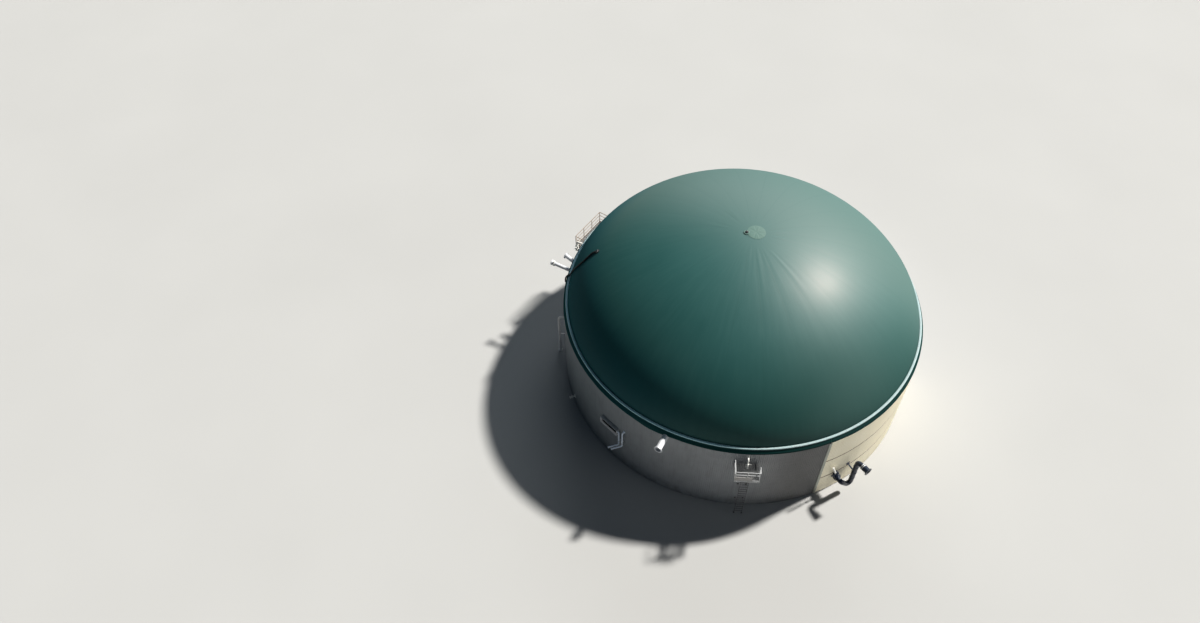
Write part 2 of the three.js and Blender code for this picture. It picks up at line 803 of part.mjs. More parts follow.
addNode('front_platform', platform(FRONT_PLATFORM), FINISH.grating);
railings('front', FRONT_PLATFORM, INFILL);
addNode('front_ladder', ladder(-93.6), FINISH.galvanised);
addNode('front_relief_valve', reliefValve(-93.6, 12520, 1, 1), FINISH.white);

addNode('back_platform', platform(BACK_PLATFORM), FINISH.grating);
railings('back', BACK_PLATFORM);
addNode('back_ladder', ladder(144.5), FINISH.galvanised);
addNode('back_relief_valve', reliefValve(152.6, 12800, 1.3, 1), FINISH.white);

export default group;
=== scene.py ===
"""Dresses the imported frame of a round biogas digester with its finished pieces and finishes."""

import logging
import math
import random
from contextlib import contextmanager
from dataclasses import dataclass, field
from enum import Enum
from typing import Any, Iterator, Mapping, Sequence

import bpy
from mathutils import Matrix, Vector


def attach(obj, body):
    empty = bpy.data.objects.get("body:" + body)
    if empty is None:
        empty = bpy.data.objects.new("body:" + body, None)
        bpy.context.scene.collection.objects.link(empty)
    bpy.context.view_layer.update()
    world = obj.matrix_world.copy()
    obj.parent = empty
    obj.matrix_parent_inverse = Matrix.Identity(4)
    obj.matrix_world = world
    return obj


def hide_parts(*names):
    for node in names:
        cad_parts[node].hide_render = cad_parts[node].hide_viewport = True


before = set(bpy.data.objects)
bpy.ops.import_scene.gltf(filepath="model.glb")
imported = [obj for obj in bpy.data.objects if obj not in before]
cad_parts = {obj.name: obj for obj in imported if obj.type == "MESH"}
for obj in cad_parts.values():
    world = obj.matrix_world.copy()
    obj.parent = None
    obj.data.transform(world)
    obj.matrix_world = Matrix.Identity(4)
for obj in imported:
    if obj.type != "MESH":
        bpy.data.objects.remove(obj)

log = logging.getLogger("digester")

Piece = bpy.types.Object
Point = tuple[float, float, float]
Colour = tuple[float, float, float]
Profile = Sequence[tuple[float, float]]

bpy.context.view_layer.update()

WALL_OUTER = 12.2  # the radius of the wall's own face
BURIED = 12.19  # where collars and pipes start, just inside that face
PLATE_FACE = 12.23  # the outer face of the plates that are bolted to the wall
SLIM_FACE = 12.225  # the same for the two slim ones
RIM_LOW = 6.5403  # the underside of the membrane's edge and of the clamping rail
HEM = 6.225  # the lower edge of the skirt
CLEAR = 0.0003  # the air between one solid and the next
UP = (0.0, 0.0, 1.0)
ALONG = (1.0, 0.0, 0.0)
ORIGIN = (0.0, 0.0, 0.0)


class Hold(Enum):
    STRETCHED = "stretched"
    HUNG = "hung"


class Slot(Enum):
    """The record's material slots."""

    CONCRETE = "concrete"
    CLADDING = "cladding"
    CREAM = "cream"
    TRIM = "trim"
    RAIL = "rail"
    SKIRT = "skirt"
    MEMBRANE = "membrane"
    PATCH = "patch"
    GALVANISED = "galvanised"
    GRATING = "grating"
    ALUMINIUM = "aluminium"
    WHITE = "white"
    SLURRY = "slurry"
    RUBBER = "rubber"


# Shader graph


class Value:
    """A shader value that Python arithmetic turns into Math nodes."""

    def __init__(self, graph: "Graph", socket: bpy.types.NodeSocket) -> None:
        """Keeps the graph and the output socket that carries the value."""
        self.graph = graph
        self.socket = socket

    def math(self, operation: str, *terms: Any) -> "Value":
        """Adds one Math node.

        Args:
            operation: The Math node's operation.
            terms: The values or numbers for its sockets, in order.

        Returns:
            The node's result.
        """
        node = self.graph.add("ShaderNodeMath", {"operation": operation}, dict(enumerate(terms)))
        return Value(self.graph, node.outputs[0])

    def __add__(self, other: Any) -> "Value":
        """Returns self + other."""
        return self.math("ADD", self, other)

    def __radd__(self, other: Any) -> "Value":
        """Returns other + self."""
        return self.math("ADD", other, self)

    def __sub__(self, other: Any) -> "Value":
        """Returns self - other."""
        return self.math("SUBTRACT", self, other)

    def __rsub__(self, other: Any) -> "Value":
        """Returns other - self."""
        return self.math("SUBTRACT", other, self)

    def __mul__(self, other: Any) -> "Value":
        """Returns self * other."""
        return self.math("MULTIPLY", self, other)

    def __rmul__(self, other: Any) -> "Value":
        """Returns other * self."""
        return self.math("MULTIPLY", other, self)

    def __abs__(self) -> "Value":
        """Returns the value without its sign."""
        return self.math("ABSOLUTE", self)

    def fraction(self) -> "Value":
        """Returns the part after the decimal point."""
        return self.math("FRACT", self)

    def root(self) -> "Value":
        """Returns the square root."""
        return self.math("SQRT", self)

    def bearing(self, across: "Value") -> "Value":
        """Returns the angle of the point (across, self) in radians."""
        return self.math("ARCTAN2", self, across)

    def step(self, low: float, high: float) -> "Value":
        """Makes a smooth rise from 0 to 1.

        Args:
            low: The value where it starts.
            high: The value where it ends.

        Returns:
            The risen value.
        """
        settings = {"interpolation_type": "SMOOTHSTEP", "clamp": True}
        sockets = {"Value": self, "From Min": low, "From Max": high}
        node = self.graph.add("ShaderNodeMapRange", settings, sockets)
        return Value(self.graph, node.outputs[0])


class Graph:
    """The node tree of one material."""

    def __init__(self, name: str) -> None:
        """Makes an empty material of that name."""
        self.material = bpy.data.materials.new(name)
        self.material.use_nodes = True
        self.tree = self.material.node_tree
        self.tree.nodes.clear()

    def add(
        self,
        kind: str,
        settings: Mapping[str, Any] | None = None,
        sockets: Mapping[Any, Any] | None = None,
    ) -> bpy.types.Node:
        """Adds any node.

        Args:
            kind: The node's type name.
            settings: The node's own settings, set before its sockets.
            sockets: A value, a socket or a Value for each input, by name or number.

        Returns:
            The new node.
        """
        node = self.tree.nodes.new(kind)
        for name, setting in (settings or {}).items():
            setattr(node, name, setting)
        for name, content in (sockets or {}).items():
            source = content.socket if isinstance(content, Value) else content
            if isinstance(source, bpy.types.NodeSocket):
                self.tree.links.new(source, node.inputs[name])
            else:
                node.inputs[name].default_value = source
        return node

    def place(self) -> bpy.types.NodeSocket:
        """Returns the object's own coordinates, which are the digester's."""
        return self.add("ShaderNodeTexCoord").outputs["Object"]

    def axes(self) -> tuple[Value, Value, Value]:
        """Returns the x, y and z of the shaded point."""
        node = self.add("ShaderNodeSeparateXYZ", None, {0: self.place()})
        return tuple(Value(self, socket) for socket in node.outputs)

    def sunward(self) -> Value:
        """Returns how far the shaded point lies towards the main lamp's side, in metres."""
        x, y, _ = self.axes()
        return x * 0.88 + y * 0.48

    def polar(self) -> tuple[Value, Value, Value]:
        """Returns the radius, the bearing in radians and the height of the shaded point."""
        x, y, z = self.axes()
        return (x * x + y * y).root(), y.bearing(x), z

    def vector(self, x: Any, y: Any, z: Any) -> bpy.types.NodeSocket:
        """Returns a vector made of three values."""
        return self.add("ShaderNodeCombineXYZ", None, {0: x, 1: y, 2: z}).outputs[0]

    def noise(
        self, scale: float, detail: float = 3.0, at: Any = None, rough: float = 0.55
    ) -> Value:
        """Adds a noise texture.

        Args:
            scale: The pattern's scale, in cells a metre.
            detail: The number of finer layers.
            at: The coordinates, or None for the object's own.
            rough: How strong the finer layers are.

        Returns:
            The noise, about 0 to 1.
        """
        sockets = {"Vector": at or self.place(), "Scale": scale, "Detail": detail}
        node = self.add("ShaderNodeTexNoise", None, {**sockets, "Roughness": rough})
        return Value(self, node.outputs["Fac"])

    def blend(self, share: Any, first: Any, second: Any) -> bpy.types.NodeSocket:
        """Mixes two colours.

        Args:
            share: The second colour's share.
            first: A colour or a colour socket.
            second: A colour or a colour socket.

        Returns:
            The mixed colour's socket.
        """
        settings = {"data_type": "RGBA", "clamp_factor": True}
        a, b = ((*c, 1.0) if isinstance(c, tuple) else c for c in (first, second))
        return self.add("ShaderNodeMix", settings, {0: share, 6: a, 7: b}).outputs[2]

    def bump(self, height: Value, distance: float, strength: float, under: Any = None) -> Any:
        """Adds a bump.

        Args:
            height: The relief, 0 to 1.
            distance: The relief's full height in metres.
            strength: How much of it shows.
            under: Another bump's result that this one lies on.

        Returns:
            The normal's socket.
        """
        sockets = {"Height": height, "Distance": distance, "Strength": strength}
        if under is not None:
            sockets["Normal"] = under
        return self.add("ShaderNodeBump", None, sockets).outputs[0]

    def close(self, sockets: Mapping[str, Any]) -> bpy.types.Material:
        """Ends the tree in one Principled surface.

        Args:
            sockets: What goes into its sockets; a bare colour is given as three numbers.

        Returns:
            The finished material.
        """
        filled = {k: (*v, 1.0) if isinstance(v, tuple) else v for k, v in sockets.items()}
        shader = self.add("ShaderNodeBsdfPrincipled", None, filled)
        self.add("ShaderNodeOutputMaterial", None, {"Surface": shader.outputs[0]})
        return self.material


# Finishes


@dataclass(frozen=True)
class Finish:
    """A surface finish that several pieces share."""

    title: str
    slot: Slot

    def paint(self, graph: Graph) -> bpy.types.Material:
        """Builds the finish in an empty graph and returns the material."""
        raise NotImplementedError

    def material(self) -> bpy.types.Material:
        """Returns the finish's one material, made on first use."""
        return bpy.data.materials.get(self.title) or self.paint(Graph(self.title))


@dataclass(frozen=True)
class MembraneFinish(Finish):
    """Coated roof membrane: satin, welded from gores, with dust and water runs, and with light,
    shade and sheen painted in by side.
    """

    colour: Colour = (0.025, 0.096, 0.092)
    dusty: Colour = (0.038, 0.117, 0.112)
    # painted light on the sun side of the roof and the patch; on the skirt this colour is darker,
    # painted shade under the rail
    sun_side_paint: Colour = (0.068, 0.127, 0.118)
    # painted shade: the colour that the shaded left side near the rim takes
    shade_side_paint: Colour = (0.0, 0.086, 0.102)
    # painted shade: the darker colour of the low front of the roof
    front: Colour = (0.006, 0.048, 0.041)
    roughness: float = 0.38
    gloss: float = 0.113
    gores: int = 24
    weld: float = 0.045
    seam: Colour = (0.02, 0.075, 0.065)

    def paint(self, graph: Graph) -> bpy.types.Material:
        """Builds the membrane with weld lines, runs down the slope, painted light or shade on the
        sun side and painted shade on the shaded side.

        Args:
            graph: An empty graph.

        Returns:
            The material.
        """
        radius, bearing, _ = graph.polar()
        x, y, _ = graph.axes()
        turn = (bearing * (self.gores / math.tau)).fraction()
        arc = (0.5 - abs(turn - 0.5)) * (math.tau / self.gores) * radius
        edge = self.weld / 2
        weld = (1.0 - arc.step(edge - 0.003, edge + 0.003)) * radius.step(0.9, 1.6)
        runs_at = graph.vector(bearing * 9.0, radius * 0.16, 0.0)
        runs = graph.noise(3.0, 4.0, runs_at, 0.6)
        cloud = graph.noise(0.22, 3.0)
        dust = runs.step(0.35, 0.75) * 0.5 + cloud.step(0.3, 0.7) * 0.5
        # painted light: the side towards the sun takes the sun-side colour
        sun_side = (x * 0.4 + y * 0.92).step(-4.0, 4.5)
        # painted shade: the shaded left side near the rim takes the shade-side colour
        damp = (1.0 - x.step(-9.0, -3.0)) * radius.step(9.0, 11.7) * 0.8
        # painted shade: the low front-right of the roof, which the side lamp lights, is darkened
        low = (x * 0.4 - y * 0.9).step(5.5, 11.0) * x.step(-7.0, 3.0) * 0.72
        colour = graph.blend(dust * 0.7, self.colour, self.dusty)
        colour = graph.blend(sun_side, colour, self.sun_side_paint)
        colour = graph.blend(damp, colour, self.shade_side_paint)
        colour = graph.blend(low, colour, self.front)
        colour = graph.blend(weld * 0.12, colour, self.seam)
        grain = graph.noise(160.0, 2.0)
        roughness = self.roughness + (dust - 0.5) * 0.04 + (grain - 0.5) * 0.03
        # painted sheen: the broad coat is full towards the main lamp and falls to a quarter on the
        # shaded side
        sun_side_sheen = 0.25 + graph.sunward().step(-10.0, 2.0) * 0.75
        relief = graph.bump(weld, 0.0015, 0.6)
        relief = graph.bump(grain, 0.0006, 0.25, relief)
        return graph.close({
            "Base Color": colour, "Roughness": roughness, "IOR": 8.0,
            "Specular Tint": (0.0162, 0.0127, 0.0121),
            "Coat Weight": sun_side_sheen * self.gloss, "Coat Roughness": 0.6,
            "Coat IOR": 4.0, "Normal": relief,
        })


@dataclass(frozen=True)
class SheetFinish(Finish):
    """Painted or bare sheet: a base colour with weathering that runs down and gathers low."""

    colour: Colour = (0.2, 0.2, 0.2)
    worn: Colour = (0.15, 0.14, 0.13)
    soil: Colour = (0.08, 0.07, 0.055)
    roughness: float = 0.5
    metallic: float = 0.0
    mottle: float = 1.2
    streaks: float = 0.45
    foot: float = 0.55
    grain: float = 0.0004
    # share of the painted shade near the front seam
    shade_side_paint: float = 0.0
    # share of the painted shade on the side away from the main lamp
    weather: float = 0.0
    # the colour of the painted shade near the front seam
    painted_shade: Colour = (0.12, 0.12, 0.12)
    # the colour of the painted shade on the side away from the main lamp
    far_side_shade: Colour = (0.12, 0.16, 0.18)

    def paint(self, graph: Graph) -> bpy.types.Material:
        """Builds the sheet with cloudy fading, upright streaks, soil near the ground and, where
        set, painted shade by bearing.

        Args:
            graph: An empty graph.

        Returns:
            The material.
        """
        x, y, z = graph.axes()
        cloud = graph.noise(self.mottle, 4.0)
        drips = graph.noise(5.0, 4.0, graph.vector(x, y, z * 0.09), 0.6)
        splash = (1.0 - z.step(0.05, 1.1)) * graph.noise(2.4, 4.0).step(0.25, 0.75)
        streak = drips.step(0.48, 0.78) * self.streaks
        colour = graph.blend(cloud.step(0.3, 0.72) * 0.5 + streak * 0.5, self.colour, self.worn)
        colour = graph.blend(streak * 0.35 + splash * self.foot, colour, self.soil)
        if self.shade_side_paint or self.weather:
            bearing = graph.polar()[1]
            # painted shade: the wall between bearings about -98° and -65° is darkened
            painted_shade = bearing.step(-1.71, -1.33) * (1.0 - bearing.step(-1.2, -1.14))
            colour = graph.blend(painted_shade * self.shade_side_paint, colour, self.painted_shade)
            # painted shade: darker, bluer gray between bearings -180° and about -115°, the side
            # away from the main lamp
            far_side_shade = bearing.step(-3.14, -2.8) * (1.0 - bearing.step(-2.75, -2.0))
            colour = graph.blend(far_side_shade * self.weather, colour, self.far_side_shade)
        fine = graph.noise(70.0, 3.0)
        roughness = self.roughness + (cloud - 0.5) * 0.16 + streak * 0.12
        return graph.close({
            "Base Color": colour, "Roughness": roughness, "Metallic": self.metallic,
            "Normal": graph.bump(fine, self.grain, 0.5),
        })


@dataclass(frozen=True)
class ZincFinish(Finish):
    """Hot-dip galvanised steel: spangle, dull patches and white bloom."""

    colour: Colour = (0.56, 0.57, 0.58)
    dull: Colour = (0.40, 0.41, 0.42)
    roughness: float = 0.42
    metallic: float = 0.3
    # share of the painted skylight on the shaded side
    spangle: float = 38.0
    shade_side_paint: float = 0.0
    bloom: Colour = (0.52, 0.53, 0.53)
    # the pale blue of the painted skylight
    painted_skylight: Colour = (0.46, 0.72, 0.78)

    def paint(self, graph: Graph) -> bpy.types.Material:
        """Builds the zinc from crystal cells, clouds of bloom, small pits and, where set, painted
        skylight on the shaded side.

        Args:
            graph: An empty graph.

        Returns:
            The material.
        """
        sockets = {"Vector": graph.place(), "Scale": self.spangle}
        cells = graph.add("ShaderNodeTexVoronoi", None, sockets).outputs["Color"]
        shade = Value(graph, graph.add("ShaderNodeSeparateXYZ", None, {0: cells}).outputs[0])
        bloom = graph.noise(3.5, 4.0).step(0.45, 0.75)
        colour = graph.blend(shade * 0.45 + bloom * 0.35, self.colour, self.dull)
        colour = graph.blend(bloom * 0.3, colour, self.bloom)
        # painted light: the side away from the main lamp is paled towards a sky-lit blue
        if self.shade_side_paint:
            shaded = 1.0 - graph.sunward().step(-8.6, -5.8)
            colour = graph.blend(shaded * self.shade_side_paint, colour, self.painted_skylight)
        roughness = self.roughness + (shade - 0.5) * 0.14 + bloom * 0.16
        relief = graph.bump(graph.noise(220.0, 2.0), 0.0003, 0.4)
        return graph.close({
            "Base Color": colour, "Roughness": roughness, "Metallic": self.metallic,
            "Normal": relief,
        })


@dataclass(frozen=True)
class ConcreteFinish(Finish):
    """Bare concrete with pores and damp patches."""

    colour: Colour = (0.30, 0.28, 0.25)
    damp: Colour = (0.17, 0.16, 0.14)
    sand: Colour = (0.42, 0.4, 0.36)

    def paint(self, graph: Graph) -> bpy.types.Material:
        """Builds the concrete from clouds, fine sand and open pores.

        Args:
            graph: An empty graph.

        Returns:
            The material.
        """
        damp = graph.noise(0.5, 5.0).step(0.4, 0.7)
        sand = graph.noise(90.0, 4.0)
        colour = graph.blend(damp * 0.6, self.colour, self.damp)
        colour = graph.blend(sand.step(0.3, 0.8) * 0.2, colour, self.sand)
        return graph.close({
            "Base Color": colour, "Roughness": 0.86 + (sand - 0.5) * 0.1,
            "Normal": graph.bump(sand, 0.002, 0.6),
        })


@dataclass(frozen=True)
class RubberFinish(Finish):
    """Black rubber and cable-jacket plastic, chalked by the weather."""

    colour: Colour = (0.012, 0.014, 0.016)
    chalk: Colour = (0.04, 0.044, 0.046)
    roughness: float = 0.6

    def paint(self, graph: Graph) -> bpy.types.Material:
        """Builds the rubber with chalky clouds and a fine moulded grain.

        Args:
            graph: An empty graph.

        Returns:
            The material.
        """
        chalk = graph.noise(4.0, 4.0).step(0.4, 0.8)
        grain = graph.noise(260.0, 2.0)
        colour = graph.blend(chalk * 0.5, self.colour, self.chalk)
        return graph.close({
            "Base Color": colour, "Roughness": self.roughness + chalk * 0.2,
            "Normal": graph.bump(grain, 0.0004, 0.5),
        })


MEMBRANE = MembraneFinish("roof membrane", Slot.MEMBRANE)
PATCH = MembraneFinish(
    "apex patch membrane", Slot.PATCH, (0.062, 0.138, 0.12), (0.074, 0.155, 0.136),
    (0.09, 0.155, 0.137),
)
# skirt: darker on its sun side and at the low front, painted shade under the rail, and bluer on the
# shaded left, painted shade too
SKIRT = MembraneFinish(
    "skirt membrane", Slot.SKIRT, (0.006, 0.062, 0.06), (0.01, 0.072, 0.07),
    (0.006, 0.042, 0.039), (0.006, 0.07, 0.08), (0.0, 0.014, 0.013), roughness=0.5, gloss=0.03,
)
# the rail's zinc carries the painted skylight on its shaded side
RAIL_ZINC = ZincFinish(
    "rail zinc", Slot.RAIL, (0.3, 0.4, 0.415), (0.23, 0.315, 0.325), roughness=0.6,
    metallic=0.0, spangle=22.0, shade_side_paint=0.9,
)
# the gray cladding carries painted shade near the front seam and on the side away from the main
# lamp
GRAY_SHEET = SheetFinish(
    "gray cladding", Slot.CLADDING, (0.345, 0.36, 0.375), (0.28, 0.29, 0.3),
    (0.14, 0.135, 0.125), roughness=0.52, metallic=0.1, shade_side_paint=0.9, weather=0.6,
)
CREAM_SHEET = SheetFinish(
    "cream cladding", Slot.CREAM, (0.97, 0.91, 0.735), (0.93, 0.86, 0.67), (0.47, 0.4, 0.28),
    roughness=0.55, mottle=0.8, streaks=0.2, foot=0.4,
)
# rust brown joint strips, darkened further as painted shade of the gap between courses
RUSTY_JOINT_WITH_GAP_SHADE = SheetFinish(
    "rusty joint", Slot.CREAM, (0.27, 0.18, 0.115), (0.17, 0.11, 0.075), (0.1, 0.07, 0.05),
    roughness=0.8, mottle=3.0,
)
TRIM_SHEET = SheetFinish(
    "pale trim", Slot.TRIM, (0.42, 0.44, 0.39), (0.33, 0.34, 0.3), (0.15, 0.13, 0.1),
    metallic=0.1,
)
ZINC = ZincFinish("galvanised steel", Slot.GALVANISED)
# dark grating steel: partly dull steel, partly painted shade of the space under the deck
SHADE_DARKENED_GRATING = ZincFinish(
    "grating steel", Slot.GRATING, (0.16, 0.165, 0.17), (0.08, 0.082, 0.085), roughness=0.5,
    metallic=0.6, spangle=60.0,
)
CONCRETE = ConcreteFinish("bare concrete", Slot.CONCRETE)
RUBBER = RubberFinish("weathered rubber", Slot.RUBBER)
LAGGING = SheetFinish(
    "aluminium lagging", Slot.ALUMINIUM, (0.66, 0.675, 0.7), (0.54, 0.555, 0.58),
    (0.35, 0.34, 0.33), metallic=0.15, mottle=4.0, streaks=0.3, foot=0.15,
)
# painted light: a paler, bluer copy of the aluminium lagging that stands in for sky light on these
# shaded pipes
SKYLIT_HEATING_LAGGING = SheetFinish(
    "heating pipe lagging with painted skylight", Slot.ALUMINIUM, (0.8, 0.88, 0.97), (0.66, 0.73, 0.82),
    (0.4, 0.4, 0.4), roughness=0.45, mottle=4.0, streaks=0.3, foot=0.15,
)
# painted light: a much paler zinc so the riser standing in shade shows bright
LIGHTENED_RISER_ZINC = ZincFinish(
    "riser zinc with painted light", Slot.GALVANISED, (0.86, 0.85, 0.83), (0.7, 0.69, 0.67), roughness=0.5,
    metallic=0.0,
)
# painted shade: near-black steel so the ladders read as standing in shade
SHADE_DARKENED_LADDER_STEEL = ZincFinish(
    "dull ladder steel", Slot.GALVANISED, (0.13, 0.125, 0.125), (0.08, 0.075, 0.075),
    roughness=0.65, metallic=0.0,
)
TANNED_ZINC = ZincFinish(
    "rust-tinged railing", Slot.GALVANISED, (0.3, 0.235, 0.18), (0.21, 0.15, 0.11),
    roughness=0.6, metallic=0.0,
)
BOARD_PAINT = SheetFinish(
    "board paint", Slot.GALVANISED, (0.4, 0.39, 0.38), (0.34, 0.33, 0.32), (0.18, 0.16, 0.14),
    roughness=0.55, mottle=5.0, streaks=0.3, foot=0.3,
)
WHITE_PAINT = SheetFinish(
    "white paint", Slot.WHITE, (0.78, 0.78, 0.75), (0.66, 0.66, 0.62), (0.3, 0.26, 0.2),
    roughness=0.4, mottle=5.0, streaks=0.35, foot=0.3,
)
SLURRY_PIPE = SheetFinish(
    "slurry pipe", Slot.SLURRY, (0.018, 0.028, 0.05), (0.03, 0.04, 0.06), (0.05, 0.045, 0.04),
    roughness=0.27, mottle=2.5, streaks=0.3, foot=0.4,
)


# Modelling moves


class Bench:
    """The modelling moves that the sub-assemblies share, made with Blender's own operators."""

    @staticmethod
    def active() -> Piece:
        """Returns the active object, which is what the last operator made."""
        return bpy.context.view_layer.objects.active

    @staticmethod
    def pick(*pieces: Piece) -> None:
        """Selects only these pieces and makes the first one active."""
        bpy.ops.object.select_all(action="DESELECT")
        for piece in pieces:
            piece.select_set(True)
        bpy.context.view_layer.objects.active = pieces[0]

    @staticmethod
    @contextmanager
    def editing(piece: Piece) -> Iterator[None]:
        """Opens the whole of a piece's mesh in edit mode for the length of a with block.

        Args:
            piece: The piece.

        Yields:
            Nothing; the block's own operators do the work.
        """
        Bench.pick(piece)
        bpy.ops.object.mode_set(mode="EDIT")
        bpy.ops.mesh.select_all(action="SELECT")
        yield
        bpy.ops.object.mode_set(mode="OBJECT")

    @staticmethod
    def named(name: str) -> Piece:
        """Names the active object and its mesh.

        Args:
            name: The name.

        Returns:
            The object.
        """
        piece = Bench.active()
        piece.name = piece.data.name = name
        return piece

    @staticmethod
    def settle(piece: Piece, angle: float = 0.0) -> Piece:
        """Writes a piece's place into its mesh, turned about the tank axis.

        Args:
            piece: The piece.
            angle: Its bearing on the tank in degrees.

        Returns:
            The same piece, at the origin.
        """
        Bench.pick(piece)
        piece.matrix_basis = Matrix.Rotation(math.radians(angle), 4, "Z") @ piece.matrix_basis
        bpy.ops.object.transform_apply(location=True, rotation=True, scale=True)
        return piece

    @staticmethod
    def swung(piece: Piece, pivot: tuple[float, float], degrees: float) -> Piece:
        """Turns a piece about an upright axis and writes that into its mesh.

        Args:
            piece: The piece.
            pivot: The axis' x and y.
            degrees: The turn.

        Returns:
            The same piece, at the origin.
        """
        here = Matrix.Translation((*pivot, 0.0))
        turn = Matrix.Rotation(math.radians(degrees), 4, "Z")
        piece.matrix_basis = here @ turn @ here.inverted() @ piece.matrix_basis
        return Bench.settle(piece)

    @staticmethod
    def harden(piece: Piece, kind: str, **settings: Any) -> Piece:
        """Adds one modifier and applies it.

        Args:
            piece: The piece.
            kind: The modifier's type.
            settings: The modifier's settings.

        Returns:
            The same piece.
        """
        Bench.pick(piece)
        modifier = piece.modifiers.new("finish", kind)
        for name, setting in settings.items():
            setattr(modifier, name, setting)
        bpy.ops.object.modifier_apply(modifier=modifier.name)
        return piece

    @staticmethod
    def soften(piece: Piece, width: float, segments: int = 2) -> Piece:
        """Rounds a piece's sharp edges by a width in metres."""
        sharp = {"limit_method": "ANGLE", "angle_limit": math.radians(38)}
        return Bench.harden(piece, "BEVEL", width=width, segments=segments, **sharp)

    @staticmethod
    def cut(piece: Piece, tool: Piece) -> Piece:
        """Cuts a tool's shape out of a piece.

        Args:
            piece: The piece.
            tool: The tool, which is used up.

        Returns:
            The same piece.
        """
        Bench.harden(piece, "BOOLEAN", operation="DIFFERENCE", object=tool, solver="EXACT")
        bpy.data.objects.remove(tool)
        return piece

    @staticmethod
    def row(piece: Piece, count: int, step: Point) -> Piece:
        """Repeats a piece count times, one step apart."""
        spread = {"use_relative_offset": False, "use_constant_offset": True}
        return Bench.harden(piece, "ARRAY", count=count, constant_offset_displace=step, **spread)

    @staticmethod
    def block(low: Point, high: Point, edge: float = 0.003, segments: int = 1) -> Piece:
        """Makes a block with broken edges.

        Args:
            low: Its lowest corner.
            high: Its highest corner.
            edge: The width of its broken edges.
            segments: The number of faces round each edge.

        Returns:
            The block.
        """
        middle = [(a + b) / 2 for a, b in zip(low, high)]
        bpy.ops.mesh.primitive_cube_add(size=1.0, location=middle)
        piece = Bench.active()
        piece.scale = [b - a for a, b in zip(low, high)]
        Bench.settle(piece)
        return Bench.soften(piece, edge, segments) if edge else piece

    @staticmethod
    def drum(
        start: Point, end: Point, radius: float, sides: int = 28, edge: float = 0.003
    ) -> Piece:
        """Makes a round bar or disc with broken edges.

        Args:
            start: The middle of its first face.
            end: The middle of its second face.
            radius: Its radius.
            sides: The number of its sides.
            edge: The width of its broken edges.

        Returns:
            The drum.
        """
        a, b = Vector(start), Vector(end)
        way = Vector(UP).rotation_difference(b - a).to_euler()
        bpy.ops.mesh.primitive_cylinder_add(
            vertices=sides, radius=radius, depth=(b - a).length, location=(a + b) / 2, rotation=way
        )
        piece = Bench.settle(Bench.active())
        return Bench.soften(piece, edge, 1) if edge else piece

    @staticmethod
    def chain(points: Sequence[Point], name: str = "line") -> Piece:
        """Draws a line of edges through points, starting from one merged corner.

        Args:
            points: The points in order.
            name: The piece's name.

        Returns:
            The line, as a mesh of edges.
        """
        bpy.ops.object.select_all(action="DESELECT")
        bpy.ops.mesh.primitive_plane_add(size=0.01, location=points[0])
        piece = Bench.settle(Bench.named(name))
        with Bench.editing(piece):
            bpy.ops.mesh.merge(type="CENTER")
            for before, after in zip(points, points[1:]):
                step = Vector(after) - Vector(before)
                bpy.ops.mesh.extrude_region_move(TRANSFORM_OT_translate={"value": step})
        return piece

    @staticmethod
    def spun(
        piece: Piece, steps: int, centre: Point = ORIGIN, axis: Point = UP, degrees: float = 360.0,
        repeat: bool = False,
    ) -> Piece:
        """Turns a line into a surface, or repeats a mesh, about an axis.

        Args:
            piece: The line or mesh.
            steps: The number of steps.
            centre: A point on the axis.
            axis: The axis' direction.
            degrees: The whole turn.
            repeat: True to repeat the mesh instead of sweeping it.

        Returns:
            The same piece, merged and facing outwards.
        """
        with Bench.editing(piece):
            bpy.ops.mesh.spin(
                steps=steps, angle=-math.radians(degrees), center=centre, axis=axis, dupli=repeat
            )
            bpy.ops.mesh.select_all(action="SELECT")
            bpy.ops.mesh.remove_doubles(threshold=0.00005)
            bpy.ops.mesh.normals_make_consistent(inside=False)
        return piece

    @staticmethod
    def repeated(piece: Piece, count: int, foot: Point, axis: Point) -> Piece:
        """Repeats a piece count times, evenly round an axis."""
        return Bench.spun(piece, count - 1, foot, axis, 360.0 * (count - 1) / count, True)

    @staticmethod
    def turned(
        profile: Profile, foot: Point = ORIGIN, axis: Point = ALONG, sides: int = 32
    ) -> Piece:
        """Turns a profile about an axis, as on a lathe.

        Args:
            profile: Pairs of distance along the axis and radius. It starts and ends on the
                axis, or else it is closed into a ring.
            foot: The point on the axis that distances count from.
            axis: The axis' direction, +X or +Z.
            sides: The number of sides.

        Returns:
            The turned solid.
        """
        x, y, z = foot
        line = [*profile, profile[0]] if profile[0][1] else profile
        if axis == ALONG:
            points = [(x + along, y, z + radius) for along, radius in line]
        else:
            points = [(x + radius, y, z + along) for along, radius in line]
        return Bench.spun(Bench.chain(points), sides, foot, axis)

    @staticmethod
    def hoop(
        low: float, high: float, bore: float, rim: float, foot: Point, axis: Point = ALONG,
        sides: int = 40,
    ) -> Piece:
        """Makes a plain ring: a band, a clamp or a weld bead.

        Args:
            low: Where it starts along the axis.
            high: Where it ends along the axis.
            bore: Its inner radius.
            rim: Its outer radius.
            foot: The point on the axis that distances count from.
            axis: The axis' direction, +X or +Z.
            sides: The number of sides.

        Returns:
            The ring.
        """
        return Bench.turned([(low, bore), (low, rim), (high, rim), (high, bore)], foot, axis, sides)

